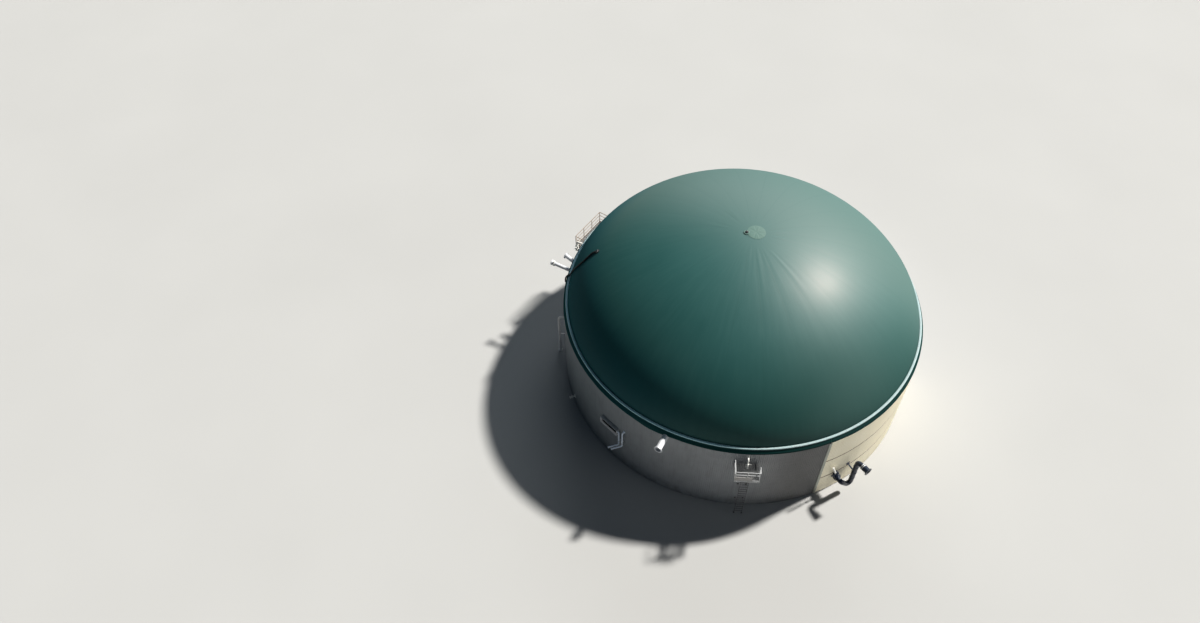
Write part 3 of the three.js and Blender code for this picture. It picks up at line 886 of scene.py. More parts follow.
    @staticmethod
    def collar(
        low: float, high: float, rim: float, foot: Point, edge: float, slope: float = 0.0,
        axis: Point = ALONG, sides: int = 32,
    ) -> Piece:
        """Makes a solid disc with its outer edge broken, as a pipe has where it meets a wall.

        Args:
            low: Where it starts along the axis.
            high: Where it ends along the axis.
            rim: Its radius.
            foot: The point on the axis that distances count from.
            edge: The broken edge's depth along the axis.
            slope: The broken edge's depth across the axis; as edge where it is 0.
            axis: The axis' direction, +X or +Z.
            sides: The number of sides.

        Returns:
            The disc.
        """
        inner = rim - (slope or edge)
        profile = [(low, 0.0), (low, rim), (high - edge, rim), (high, inner), (high, 0.0)]
        return Bench.turned(profile, foot, axis, sides)

    @staticmethod
    def flange(
        foot: Point, end: float, bore: float, rim: float, seat: float, holes: int, ring: float,
        drill: float,
    ) -> Piece:
        """Makes a drilled flange with a raised face along X.

        Args:
            foot: The point on the axis that distances count from.
            end: Where its face lies.
            bore: Its inner radius.
            rim: Its outer radius.
            seat: The raised face's radius.
            holes: The number of bolt holes.
            ring: The radius that the holes lie on.
            drill: The holes' radius.

        Returns:
            The flange.
        """
        back, lip, edge = end - 0.04, end - 0.004, 0.004
        plate = Bench.turned([
            (back, bore), (back, rim - edge), (back + edge, rim), (lip - edge, rim),
            (lip, rim - edge), (lip, seat), (end, seat - edge), (end, bore),
        ], foot, sides=48)
        y, z = foot[1], foot[2] + ring
        hole = Bench.drum((end - 0.1, y, z), (end + 0.1, y, z), drill, 12, 0.0)
        return Bench.cut(plate, Bench.repeated(hole, holes, foot, ALONG))

    @staticmethod
    def tube(points: Sequence[Point], radius: float, roundness: int = 3) -> Piece:
        """Makes a round tube along points.

        Args:
            points: The points of its centreline.
            radius: Its radius.
            roundness: How many steps its section has between quarter points.

        Returns:
            The tube, closed at both ends.
        """
        bpy.ops.curve.primitive_bezier_curve_add()
        curve = Bench.active()
        curve.data.splines.clear()
        spline = curve.data.splines.new("POLY")
        spline.points.add(len(points) - 1)
        for place, point in zip(spline.points, points):
            place.co = (*point, 1.0)
        curve.data.dimensions = "3D"
        curve.data.twist_mode = "MINIMUM"
        curve.data.bevel_depth = radius
        curve.data.bevel_resolution = roundness
        curve.data.use_fill_caps = True
        curve.location = ORIGIN
        Bench.pick(curve)
        bpy.ops.object.convert(target="MESH")
        return Bench.settle(Bench.active())

    @staticmethod
    def bent(corners: Sequence[Point], bend: float, steps: int = 6) -> list[Point]:
        """Rounds the corners of a run.

        Args:
            corners: The run's corner points.
            bend: The radius at each corner.
            steps: The number of steps round a corner.

        Returns:
            The points of the rounded run.
        """
        points = [Vector(corner) for corner in corners]
        run = [points[0]]
        for before, here, after in zip(points, points[1:], points[2:]):
            inward, outward = (before - here).normalized(), (after - here).normalized()
            half = inward.angle(outward) / 2
            centre = here + (inward + outward).normalized() * (bend / math.sin(half))
            first = here + inward * (bend / math.tan(half)) - centre
            last = here + outward * (bend / math.tan(half)) - centre
            sweep = first.angle(last)
            for share in (index / steps for index in range(steps + 1)):
                near = math.sin((1 - share) * sweep) / math.sin(sweep)
                far = math.sin(share * sweep) / math.sin(sweep)
                run.append(centre + first * near + last * far)
        return [tuple(point) for point in [*run, points[-1]]]

    @staticmethod
    def joined(name: str, pieces: Sequence[Piece]) -> Piece:
        """Joins pieces into one under a name.

        Args:
            name: The joined piece's name.
            pieces: The pieces.

        Returns:
            The joined piece.
        """
        Bench.pick(*pieces)
        if len(pieces) > 1:
            bpy.ops.object.join()
        return Bench.named(name)

    @staticmethod
    def copied(piece: Piece, angle: float = 0.0) -> Piece:
        """Copies a piece with its own mesh, turned about the tank axis.

        Args:
            piece: The piece.
            angle: The turn in degrees.

        Returns:
            The copy.
        """
        Bench.pick(piece)
        bpy.ops.object.duplicate(linked=False)
        return Bench.settle(Bench.active(), angle)

    @staticmethod
    def bolts(
        foot: Point, size: float, count: int = 1, ring: float = 0.0, axis: Point = ALONG
    ) -> Piece:
        """Makes a hexagon bolt head with its washer, or a ring of them.

        Args:
            foot: The ring's middle, on the face that the heads sit on.
            size: The bolt's thread diameter.
            count: The number of bolts.
            ring: The ring's radius.
            axis: The direction the heads stand out in.

        Returns:
            All the bolts as one piece.
        """
        across = Vector(UP) if axis == ALONG else Vector(ALONG)
        base, way = Vector(foot) + across * ring, Vector(axis) * size
        washer = Bench.drum(base, base + way * 0.2, size * 1.1, 12, 0.0)
        head = Bench.drum(base + way * 0.2, base + way * 0.85, size * 0.92, 6, 0.0)
        one = Bench.joined("bolts", [washer, head])
        return Bench.repeated(one, count, foot, axis) if count > 1 else one

    @staticmethod
    def bolt_grid(
        face: float, across: Sequence[float], levels: Sequence[float], size: float
    ) -> list[Piece]:
        """Makes bolts in rows and columns on an upright face.

        Args:
            face: The face's place along X.
            across: The columns' places along Y.
            levels: The rows' heights.
            size: The bolts' thread diameter.

        Returns:
            The bolts.
        """
        return [Bench.bolts((face, y, z), size) for y in across for z in levels]


def mirrored(middle: float, half: Profile) -> list[tuple[float, float]]:
    """Makes a profile that is the same on both sides of a middle.

    Args:
        middle: The middle's place along the axis.
        half: Pairs of distance from the middle and radius, from the end inwards.

    Returns:
        The whole profile.
    """
    near = [(middle - reach, radius) for reach, radius in half]
    return near + [(middle + reach, radius) for reach, radius in reversed(half)]


def coated(finish: Finish, *pieces: Piece) -> list[Piece]:
    """Gives pieces one finish.

    Args:
        finish: The finish.
        pieces: The pieces.

    Returns:
        The same pieces.
    """
    for piece in pieces:
        piece.data.materials.clear()
        piece.data.materials.append(finish.material())
    return list(pieces)


def dress(piece: Piece, finish: Finish, *nodes: str, crease: float = 35.0) -> Piece:
    """Finishes a piece and hands it to the frame.

    Args:
        piece: The piece, in its place.
        finish: Its finish, or its main one where it already carries several.
        nodes: The CAD nodes that it stands for.
        crease: The angle in degrees above which an edge stays sharp.

    Returns:
        The same piece.
    """
    if not piece.data.materials:
        piece.data.materials.append(finish.material())
    Bench.pick(piece)
    bpy.ops.object.shade_smooth_by_angle(angle=math.radians(crease))
    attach(piece, "root")
    if nodes:
        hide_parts(*nodes)
    log.info("%s: %d faces", piece.name, len(piece.data.polygons))
    return piece


def assemble(
    name: str, pieces: Sequence[Piece], angle: float, finish: Finish, *nodes: str
) -> Piece:
    """Joins pieces that were modelled at bearing 0, turns them to their place and dresses them.

    Args:
        name: The whole piece's name.
        pieces: What it is made of.
        angle: Its bearing on the tank in degrees.
        finish: Its main finish.
        nodes: The CAD nodes that it stands for.

    Returns:
        The whole piece.
    """
    return dress(Bench.settle(Bench.joined(name, pieces), angle), finish, *nodes)


def paint_node(name: str, finish: Finish) -> None:
    """Gives a CAD node that stays in view its finish.

    Args:
        name: The node's name.
        finish: Its finish.
    """
    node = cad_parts[name]
    if not node.material_slots:
        node.data.materials.append(finish.material())
    for place in node.material_slots:
        place.material = finish.material()
    log.info("%s: finish %s", name, finish.title)


def on_circle(radius: float, angle: float, height: float) -> Point:
    """Returns the point at a radius, a bearing in degrees and a height."""
    turn = math.radians(angle)
    return (radius * math.cos(turn), radius * math.sin(turn), height)


# Studio


@dataclass(frozen=True)
class Lamp:
    """A distant lamp, placed by its bearing and height in degrees; a wide one is soft."""

    name: str
    bearing: float
    height: float
    power: float
    spread: float
    colour: Colour

    def hang(self) -> None:
        """Adds the lamp to the scene, aimed at the digester."""
        rise = math.radians(self.height)
        way = Vector(on_circle(math.cos(rise), self.bearing, math.sin(rise)))
        light = bpy.data.lights.new(self.name, "SUN")
        light.energy = self.power
        light.angle = math.radians(self.spread)
        light.color = self.colour
        stand = bpy.data.objects.new(self.name, light)
        stand.rotation_euler = way.to_track_quat("Z", "Y").to_euler()
        bpy.context.scene.collection.objects.link(stand)


@dataclass
class Studio:
    """The pale floor, the lights and the camera."""

    camera_place: Point = (-9.712, -41.02, 54.84)
    camera_tilt: float = 39.57
    camera_roll: float = -0.33
    lens: float = 27.67
    sensor: float = 36.0
    view_depth: float = 2000.0
    lamps: tuple[Lamp, ...] = (
        Lamp("main lamp", 28.5, 46.3, 6.2, 4.0, (1.0, 0.965, 0.91)),
        Lamp("back softbox", 80.0, 18.0, 1.15, 45.0, (0.9, 0.96, 1.0)),
        Lamp("side softbox", -28.0, 6.0, 0.74, 50.0, (1.0, 0.97, 0.93)),
    )
    sky: Colour = (0.62, 0.8, 1.0)
    sky_power: float = 0.09
    floor_half: float = 400.0
    floor_drop: float = -0.004

    def build(self) -> None:
        """Sets up the camera, the lights and the floor."""
        self.aim()
        for lamp in self.lamps:
            lamp.hang()
        self.light_all_round()
        self.lay_floor()
        log.info("studio ready")

    def aim(self) -> None:
        """Places the camera where the photograph was taken from."""
        camera = bpy.data.cameras.new("camera")
        camera.lens = self.lens
        camera.sensor_width = self.sensor
        camera.clip_end = self.view_depth
        stand = bpy.data.objects.new("camera", camera)
        bpy.context.scene.collection.objects.link(stand)
        tilt = Matrix.Rotation(math.radians(self.camera_tilt), 4, "X")
        roll = Matrix.Rotation(math.radians(self.camera_roll), 4, "Z")
        stand.matrix_world = Matrix.Translation(self.camera_place) @ tilt @ roll
        bpy.context.scene.camera = stand

    def light_all_round(self) -> None:
        """Adds the soft light from all round and sets how the picture is toned."""
        world = bpy.data.worlds.new("soft light")
        world.use_nodes = True
        bpy.context.scene.world = world
        background = world.node_tree.nodes["Background"]
        background.inputs["Color"].default_value = (*self.sky, 1.0)
        background.inputs["Strength"].default_value = self.sky_power
        bpy.context.scene.view_settings.view_transform = "Standard"
        bpy.context.scene.view_settings.look = "Medium High Contrast"

    def lay_floor(self) -> None:
        """Lays the plain pale floor, just under the digester."""
        bpy.ops.object.select_all(action="DESELECT")
        place = (0.0, 0.0, self.floor_drop)
        bpy.ops.mesh.primitive_plane_add(size=2 * self.floor_half, location=place)
        floor = Bench.settle(Bench.named("floor"))
        graph = Graph("pale floor")
        cloud = graph.noise(0.08, 2.0)
        colour = graph.blend(cloud, (0.37, 0.372, 0.368), (0.4, 0.402, 0.398))
        floor.data.materials.append(graph.close({"Base Color": colour, "Roughness": 0.9}))


# Roof


def bell(offset: float, width: float) -> float:
    """Returns a bell curve, 1 in its middle."""
    return math.exp(-((offset / width) ** 2))


def clamped(value: float) -> float:
    """Returns the value held between 0 and 1."""
    return max(0.0, min(value, 1.0))


@dataclass(frozen=True)
class Crease:
    """One crease that runs down the membrane from near the apex."""

    bearing: float
    start: float
    length: float
    depth: float

    def lift(self, distance: float, angle: float) -> float:
        """Works out how far the crease lifts the membrane at a point.

        Args:
            distance: The distance from the tank axis.
            angle: The bearing in degrees.

        Returns:
            The offset in metres, outwards positive.
        """
        if not self.start < distance < self.start + self.length:
            return 0.0
        across = math.radians((angle - self.bearing + 180.0) % 360.0 - 180.0) * distance
        width = 0.07 + 0.03 * (distance - self.start)
        if abs(across) > 3 * width:
            return 0.0
        along = math.sin(math.pi * ((distance - self.start) / self.length) ** 0.6)
        ridge = bell(across, width) - 0.6 * bell(across - 1.7 * width, width)
        return self.depth * along * ridge


@dataclass(frozen=True)
class CreaseFan:
    """A fan of creases between two bearings, lengths and depths."""

    count: int
    bearings: tuple[float, float]
    lengths: tuple[float, float]
    depths: tuple[float, float]
    starts: tuple[float, float] = (0.95, 1.7)

    def creases(self, chance: random.Random) -> list[Crease]:
        """Draws the fan's creases.

        Args:
            chance: The seeded source of the draws.

        Returns:
            The creases.
        """
        ranges = (self.bearings, self.starts, self.lengths, self.depths)
        return [Crease(*(chance.uniform(*pair) for pair in ranges)) for _ in range(self.count)]


@dataclass
class MembraneRoof:
    """The domed membrane with its creases, apex patch, apex fitting and support-air hose."""

    radius: float = 11.9215
    rise: float = 6.36
    fullness: float = 1.292
    thickness: float = 0.004
    meridian: int = 64
    spokes: int = 384
    gores: int = 24
    patch_radius: float = 0.6
    patch_place: tuple[float, float] = (0.25, 0.09)
    patch_rings: int = 14
    fitting_place: tuple[float, float] = (-0.37, 0.07)
    hose_radius: float = 0.055
    cuff_place: tuple[float, float] = (10.02, 169.9)
    fans: tuple[CreaseFan, ...] = (
        CreaseFan(13, (-112.0, -56.0), (1.6, 4.4), (0.0014, 0.003)),
        CreaseFan(5, (-14.0, 10.0), (0.8, 1.6), (0.0015, 0.003)),
        CreaseFan(6, (112.0, 160.0), (1.2, 2.8), (0.002, 0.004)),
        CreaseFan(5, (-160.0, 100.0), (1.0, 2.2), (0.001, 0.002)),
    )
    seed: int = 11
    creases: list[Crease] = field(default_factory=list)

    def height(self, distance: float) -> float:
        """Returns the roof's height at a distance from the tank axis."""
        share = min(distance / self.radius, 1.0)
        return RIM_LOW + self.rise * (1.0 - share * share) ** (self.fullness / 2)

    def normal(self, distance: float, angle: float) -> Vector:
        """Works out the roof's outward direction.

        Args:
            distance: The distance from the tank axis.
            angle: The bearing in degrees.

        Returns:
            The direction, one metre long.
        """
        reach = 0.05  # how far to each side the slope is measured
        fall = self.height(distance - reach) - self.height(distance + reach)
        flat = Vector(on_circle(1.0, angle, 0.0))
        return (flat * fall + Vector(UP) * 2 * reach).normalized()

    def plan_creases(self) -> None:
        """Chooses the creases that fan out from the apex, most of them to the front."""
        chance = random.Random(self.seed)
        self.creases = [crease for fan in self.fans for crease in fan.creases(chance)]

    def relief(self, distance: float, angle: float) -> float:
        """Works out how far the membrane stands in or out of the smooth dome.

        Args:
            distance: The distance from the tank axis.
            angle: The bearing in degrees.

        Returns:
            The offset in metres, outwards positive.
        """
        pitch, turn = 360.0 / self.gores, math.radians(angle)
        off = (angle / pitch) % 1.0
        arc = min(off, 1.0 - off) * math.radians(pitch) * distance
        fade = clamped((distance - 1.0) / 2.5) * clamped(self.radius - distance)
        offset = -0.0022 * bell(arc, 0.16) * fade
        offset += sum(crease.lift(distance, angle) for crease in self.creases)
        edge = (distance - (self.radius - 0.9)) / 0.9
        if edge > 0.0:
            wave = math.sin(turn * 150) + 0.6 * math.sin(turn * 97 + 1.3)
            offset += 0.0035 * wave * math.sin(math.pi * min(edge, 1.0))
        return offset

    def build_dome(self) -> Piece:
        """Spins the meridian into the dome, creases it and gives the membrane its thickness.

        Returns:
            The dome.
        """
        steps = range(self.meridian + 1)
        reach = [self.radius * math.sin(math.pi / 2 * i / self.meridian) for i in steps]
        line = Bench.chain([(r, 0.0, self.height(r)) for r in reach], "roof_membrane")
        dome = Bench.spun(line, self.spokes)
        for vertex in dome.data.vertices:
            x, y, _ = vertex.co
            distance = math.hypot(x, y)
            if 0.5 < distance < self.radius - 0.02:
                angle = math.degrees(math.atan2(y, x))
                vertex.co += self.normal(distance, angle) * self.relief(distance, angle)
        Bench.harden(dome, "SOLIDIFY", thickness=self.thickness, offset=-1.0)
        dress(dome, MEMBRANE, "membrane_dome", crease=60.0)
        return dome

    def build_patch(self, dome: Piece) -> None:
        """Welds the round patch over the apex, with a raised edge.

        Args:
            dome: The roof membrane that it lies on.
        """
        radius, rings = self.patch_radius, self.patch_rings
        points = [(radius * index / rings, 0.0, 0.0) for index in range(rings + 1)]
        patch = Bench.spun(Bench.chain(points, "apex_patch_membrane"), 96)
        for vertex in patch.data.vertices:
            swell = math.sin(math.pi * min(math.hypot(vertex.co.x, vertex.co.y) / radius, 1.0))
            angle = math.atan2(vertex.co.y, vertex.co.x)
            vertex.co += Vector((*self.patch_place, 0.0))
            ripple = 0.003 * math.sin(7 * angle) + 0.002 * math.sin(17 * angle + 1.0)
            vertex.co.z = self.height(math.hypot(vertex.co.x, vertex.co.y)) + 0.011
            vertex.co.z += swell * (0.005 + ripple)
        Bench.harden(patch, "SOLIDIFY", thickness=0.005, offset=0.0)
        dress(patch, PATCH, "apex_patch", crease=60.0)

    def build_fitting(self) -> None:
        """Builds the small bolted fitting beside the apex."""
        foot = (*self.fitting_place, RIM_LOW + self.rise)
        base = Bench.turned([
            (-0.03, 0.0), (-0.03, 0.2), (0.028, 0.2), (0.036, 0.192), (0.036, 0.118),
            (0.05, 0.112), (0.05, 0.0),
        ], foot, UP, 48)
        cap = Bench.turned([
            (0.04, 0.0), (0.04, 0.1), (0.075, 0.1), (0.095, 0.086), (0.107, 0.05), (0.11, 0.0),
        ], foot, UP, 32)
        ring = Bench.bolts((foot[0], foot[1], foot[2] + 0.036), 0.012, 10, 0.157, UP)
        pieces = coated(RUBBER, cap) + coated(ZINC, ring) + coated(PATCH, base)
        dress(Bench.joined("apex_fitting_body", pieces), ZINC, "apex_fitting")

    def build_hose(self) -> None:
        """Lays the support-air hose down the roof, with its cuff and the straps that hold it."""
        lay = (
            (10.08, 169.8, 0.055), (10.36, 169.6, 0.058), (10.65, 170.5, 0.06),
            (10.92, 171.0, 0.06), (11.17, 171.2, 0.062), (11.42, 171.1, 0.064),
            (11.65, 170.8, 0.066), (11.83, 170.5, 0.07),
        )
        fall = (
            (12.02, 6.731), (12.16, 6.661), (12.272, 6.43), (12.306, 6.25), (12.312, 6.09),
            (12.29, 5.99), (12.24, 5.93), (12.19, 5.91),
        )
        path = [self.seat(distance, angle, lift) for distance, angle, lift in lay]
        path += [Vector(on_circle(distance, 170.2, height)) for distance, height in fall]
        run = self.smoothed(path, 4)
        hose = coated(RUBBER, Bench.tube(run, self.hose_radius, 4))
        straps = [self.strap(run, share) for share in (0.2, 0.36, 0.52)]
        dress(Bench.joined("air_hose_run", [*hose, *straps]), RUBBER, "air_hose")
        pieces = []
        for low, high, radius, sides, edge, finish in (  # the cuff, its neck and the clamping band
            (-0.05, 0.03, 0.17, 40, 0.008, RUBBER), (0.02, 0.1, 0.11, 32, 0.012, RUBBER),
            (0.055, 0.075, 0.116, 32, 0.003, ZINC),
        ):
            ends = (self.seat(*self.cuff_place, low), self.seat(*self.cuff_place, high))
            pieces += coated(finish, Bench.drum(*ends, radius, sides, edge))
        dress(Bench.joined("air_inlet_cuff", pieces), RUBBER, "air_inlet")

    def seat(self, distance: float, angle: float, lift: float) -> Vector:
        """Returns the point that stands off the roof by a lift in metres."""
        foot = Vector(on_circle(distance, angle, self.height(distance)))
        return foot + self.normal(distance, angle) * lift

    def smoothed(self, path: Sequence[Vector], steps: int) -> list[Point]:
        """Rounds a path by a curve through its points.

        Args:
            path: The points.
            steps: The number of steps between each pair of points.

        Returns:
            The points of the smooth run.
        """
        run = []
        last = len(path) - 1
        for index in range(last):
            p0, p1 = path[max(index - 1, 0)], path[index]
            p2, p3 = path[index + 1], path[min(index + 2, last)]
            for t in (step / steps for step in range(steps)):
                square = (2 * p0 - 5 * p1 + 4 * p2 - p3) * t * t
                cube = (3 * p1 - p0 - 3 * p2 + p3) * t ** 3
                run.append(tuple(0.5 * (2 * p1 + (p2 - p0) * t + square + cube)))
        return [*run, tuple(path[-1])]

    def strap(self, run: Sequence[Point], share: float) -> Piece:
        """Makes one welded strap over the hose.

        Args:
            run: The hose's centreline.
            share: How far along the run the strap sits, 0 to 1.

        Returns:
            The strap.
        """
        index = int(share * (len(run) - 1))
        here = Vector(run[index])
        way = (Vector(run[index + 1]) - here).normalized()
        half = way * 0.03
        band = Bench.drum(here - half, here + half, self.hose_radius + 0.005, 24, 0.002)
        angle = math.degrees(math.atan2(here.y, here.x))
        normal = self.normal(math.hypot(here.x, here.y), angle)
        tab = Bench.block((-0.03, -0.15, -0.003), (0.03, 0.15, 0.003), 0.001)
        foot = here - normal * (self.hose_radius - 0.004)
        turn = Matrix((way, way.cross(normal).normalized(), normal)).transposed().to_4x4()
        tab.matrix_basis = Matrix.Translation(foot) @ turn
        return Bench.joined("hose_strap", coated(PATCH, band, Bench.settle(tab)))

    def build(self) -> None:
        """Builds and dresses every piece of the roof."""
        self.plan_creases()
        self.build_patch(self.build_dome())
        self.build_fitting()
        self.build_hose()


# Rim


@dataclass
class Rim:
    """The clamping rail in its lengths, its bolts and splice plates, and the membrane skirt."""

    radius: float = 12.0
    half_width: float = 0.078
    height: float = 0.125
    chamfer: float = 0.03
    lengths: int = 36
    gap: float = 0.07
    bolts_each: int = 4
    skirt_parts: int = 3
    skirt_seam: float = -69.0
    skirt_gap: float = 0.06
    skirt_thickness: float = 0.004
    skirt_loose: float = 6.44
    skirt_line: tuple[tuple[float, float], ...] = (
        (12.0825, 6.584), (12.0845, 6.56), (12.092, 6.53), (12.125, 6.485), (12.16, 6.438),
        (12.192, 6.395), (12.21, 6.36), (12.219, 6.32), (12.223, 6.27), (12.2265, HEM),
    )

    def build_rail(self) -> None:
        """Models one length of rail and copies it all round."""
        inner, outer = self.radius - self.half_width, self.radius + self.half_width
        low, high, chamfer = RIM_LOW, RIM_LOW + self.height, self.chamfer
        profile = [
            (inner, low), (outer, low), (outer, high - chamfer), (outer - 0.01, high - 0.008),
            (outer - chamfer, high), (inner + chamfer, high), (inner + 0.01, high - 0.008),
            (inner, high - chamfer), (inner, low),
        ]
        pitch = 360.0 / self.lengths
        length = Bench.settle(Bench.chain([(r, 0.0, z) for r, z in profile]), self.gap / 2)
        Bench.spun(length, 7, degrees=pitch - self.gap)
        with Bench.editing(length):
            bpy.ops.mesh.select_all(action="DESELECT")
            bpy.ops.mesh.select_non_manifold()
            bpy.ops.mesh.edge_face_add()
            bpy.ops.mesh.select_all(action="SELECT")
            bpy.ops.mesh.normals_make_consistent(inside=False)
        heads = []
        for index in range(self.bolts_each):
            head = Bench.bolts((self.radius, 0.0, high), 0.016, axis=UP)
            heads.append(Bench.settle(head, pitch * (index + 0.5) / self.bolts_each))
        splice = Bench.block((inner + 0.02, -0.09, high), (outer - 0.02, 0.09, high + 0.005), 0.002)
        first = Bench.joined("rail_length", [length, *heads, splice])
        copies = [Bench.copied(first, pitch * index) for index in range(1, self.lengths)]
        dress(Bench.joined("clamp_rail_lengths", [first, *copies]), RAIL_ZINC, "clamp_rail")

    def build_skirt(self) -> None:
        """Hangs the membrane skirt from the rail in equal parts, with a slightly uneven hem."""
        line, span = self.skirt_line, 360.0 / self.skirt_parts
        for index in range(self.skirt_parts):
            part = Bench.chain([(r, 0.0, z) for r, z in line], f"skirt_part_{index + 1}")
            Bench.settle(part, self.skirt_seam + span * index + self.skirt_gap / 2)
            Bench.spun(part, 150, degrees=span - self.skirt_gap)
            self.uneven(part)
            Bench.harden(part, "SOLIDIFY", thickness=self.skirt_thickness, offset=0.0)
            nodes = ("skirt_band",) if index == 0 else ()
            dress(part, SKIRT, *nodes, crease=60.0)

    def uneven(self, part: Piece) -> None:
        """Moves the lower half of a skirt part a little, as the real cloth lies.

        Args:
            part: The part, still without thickness.
        """
        for vertex in part.data.vertices:
            low = max(0.0, (self.skirt_loose - vertex.co.z) / (self.skirt_loose - HEM))
            turn = math.atan2(vertex.co.y, vertex.co.x)
            bearing = math.degrees(turn)
            wave = 0.55 * math.sin(9 * turn + 0.7) + 0.3 * math.sin(31 * turn)
            wave += 0.15 * math.sin(83 * turn + 2.0)
            sag, drawn = bell(bearing + 123.0, 4.5), bell(bearing + 92.0, 24.0)
            out = 0.006 * (math.sin(57 * turn) * 0.5 + 0.5) + 0.012 * sag
            vertex.co += Vector(on_circle(low * out, bearing, 0.0))
            vertex.co.z += low * (0.05 + 0.06 * drawn + 0.02 * wave - 0.14 * sag)

    def build(self) -> None:
        """Builds and dresses the rail and the skirt."""
        self.build_rail()
        self.build_skirt()


# Wall


@dataclass
class Cladding:
    """Ribbed sheets over the wall, in full height where gray and in three courses where cream."""

    seam: float = -69.0
    segments: int = 12
    cream: int = 2
    ribs: int = 50
    valley: float = 12.2035
    crest: float = 12.2155
    foot: float = 0.04
    top: float = 6.275
    joints: tuple[float, float] = (1.88, 3.95)
    joint_half: float = 0.045
    joint_lap: float = 0.02
    thickness: float = 0.0012
    screw_step: int = 5
    gray_rows: tuple[float, ...] = (0.25, 1.75, 3.25, 4.75, 6.1)
    cream_rows: tuple[float, ...] = (0.2, 1.7, 2.06, 3.77, 4.13, 6.1)

    @property
    def span(self) -> float:
        """The width of a wall segment in degrees."""
        return 360.0 / self.segments

    @property
    def pitch(self) -> float:
        """The width of a rib in degrees."""
        return self.span / self.ribs

    def sheet(self, low: float, high: float) -> Piece:
        """Models one ribbed sheet as wide as a wall segment, at bearing 0.

        Args:
            low: The height of its lower edge.
            high: The height of its upper edge.

        Returns:
            The sheet.
        """
        rib = (
            (0.0, self.valley), (0.4, self.valley), (0.5, self.crest), (0.86, self.crest),
            (0.96, self.valley), (1.0, self.valley),
        )
        outline = [on_circle(radius, self.pitch * (share - 1.0), low) for share, radius in rib]
        line = Bench.settle(Bench.chain(outline), self.pitch)
        Bench.spun(line, self.ribs - 1, degrees=self.pitch * (self.ribs - 1), repeat=True)
        with Bench.editing(line):
            rise = {"value": (0.0, 0.0, high - low)}
            bpy.ops.mesh.extrude_region_move(TRANSFORM_OT_translate=rise)
        return Bench.harden(line, "SOLIDIFY", thickness=self.thickness, offset=0.0)

    def screws(self, rows: Sequence[float]) -> Piece:
        """Models the rows of screws in a segment's valleys, at bearing 0.

        Args:
            rows: The heights of the rows.

        Returns:
            All the screws as one piece.
        """
        back, seat, tip = self.valley - 0.001, self.valley + 0.003, self.valley + 0.008
        found = []
        for z in rows:
            found.append(Bench.drum((back, 0, z), (seat, 0, z), 0.011, 8, 0.0))
            found.append(Bench.drum((seat, 0, z), (tip, 0, z), 0.006, 6, 0.0))
        screws = Bench.settle(Bench.joined("screws", found), self.pitch * 2.2)
        more = self.ribs // self.screw_step - 1
        return Bench.spun(screws, more, degrees=self.pitch * self.screw_step * more, repeat=True)

    def place(self, model: Piece, numbers: range, finish: Finish) -> None:
        """Copies a model to wall segments; the last one takes the model itself.

        Args:
            model: The segment's cladding at bearing 0.
            numbers: The segments' numbers, from 0.
            finish: Their main finish.
        """
        for index in numbers:
            piece = model if index == numbers[-1] else Bench.copied(model)
            piece.name = f"cladding_{index + 1:02d}"
            Bench.settle(piece, self.seam + index * self.span)
            dress(piece, finish, crease=20.0)

    def build_gray(self) -> None:
        """Builds the gray segments from one model."""
        parts = coated(GRAY_SHEET, self.sheet(self.foot, self.top), self.screws(self.gray_rows))
        model = Bench.joined("gray_sheet", parts)
        self.place(model, range(self.cream, self.segments), GRAY_SHEET)

    def build_cream(self) -> None:
        """Builds the cream segments in three courses with a rusty joint between them, darkened as
        painted gap shade.
        """
        (low, high), half = self.joints, self.joint_half
        back, face = self.valley - 0.003, self.valley
        courses = ((self.foot, low - half), (low + half, high - half), (high + half, self.top))
        parts = coated(CREAM_SHEET, *(self.sheet(a, b) for a, b in courses))
        parts += coated(CREAM_SHEET, self.screws(self.cream_rows))
        for height in self.joints:
            a, b = height - half - self.joint_lap, height + half + self.joint_lap
            corners = ((back, a), (face, a), (face, b), (back, b), (back, a))
            strip = Bench.chain([(r, 0.0, z) for r, z in corners])
            # the joint strips: rust brown, darker as painted shade of the gap
            parts += coated(RUSTY_JOINT_WITH_GAP_SHADE, Bench.spun(strip, 60, degrees=self.span))
        self.place(Bench.joined("cream_courses", parts), range(self.cream), CREAM_SHEET)

    def coat_nodes(self) -> None:
        """Gives the wall's own solids, the floor and the edge strips their finishes."""
        for index in range(self.segments):
            finish = CREAM_SHEET if index < self.cream else GRAY_SHEET
            paint_node(f"wall_{index + 1:02d}", finish)
        paint_node("tank_floor", CONCRETE)
        for name in ("trim_front", "trim_far"):
            paint_node(name, TRIM_SHEET)

    def build(self) -> None:
        """Builds and dresses the wall."""
        self.coat_nodes()
        self.build_gray()
        self.build_cream()


# Fittings on the wall


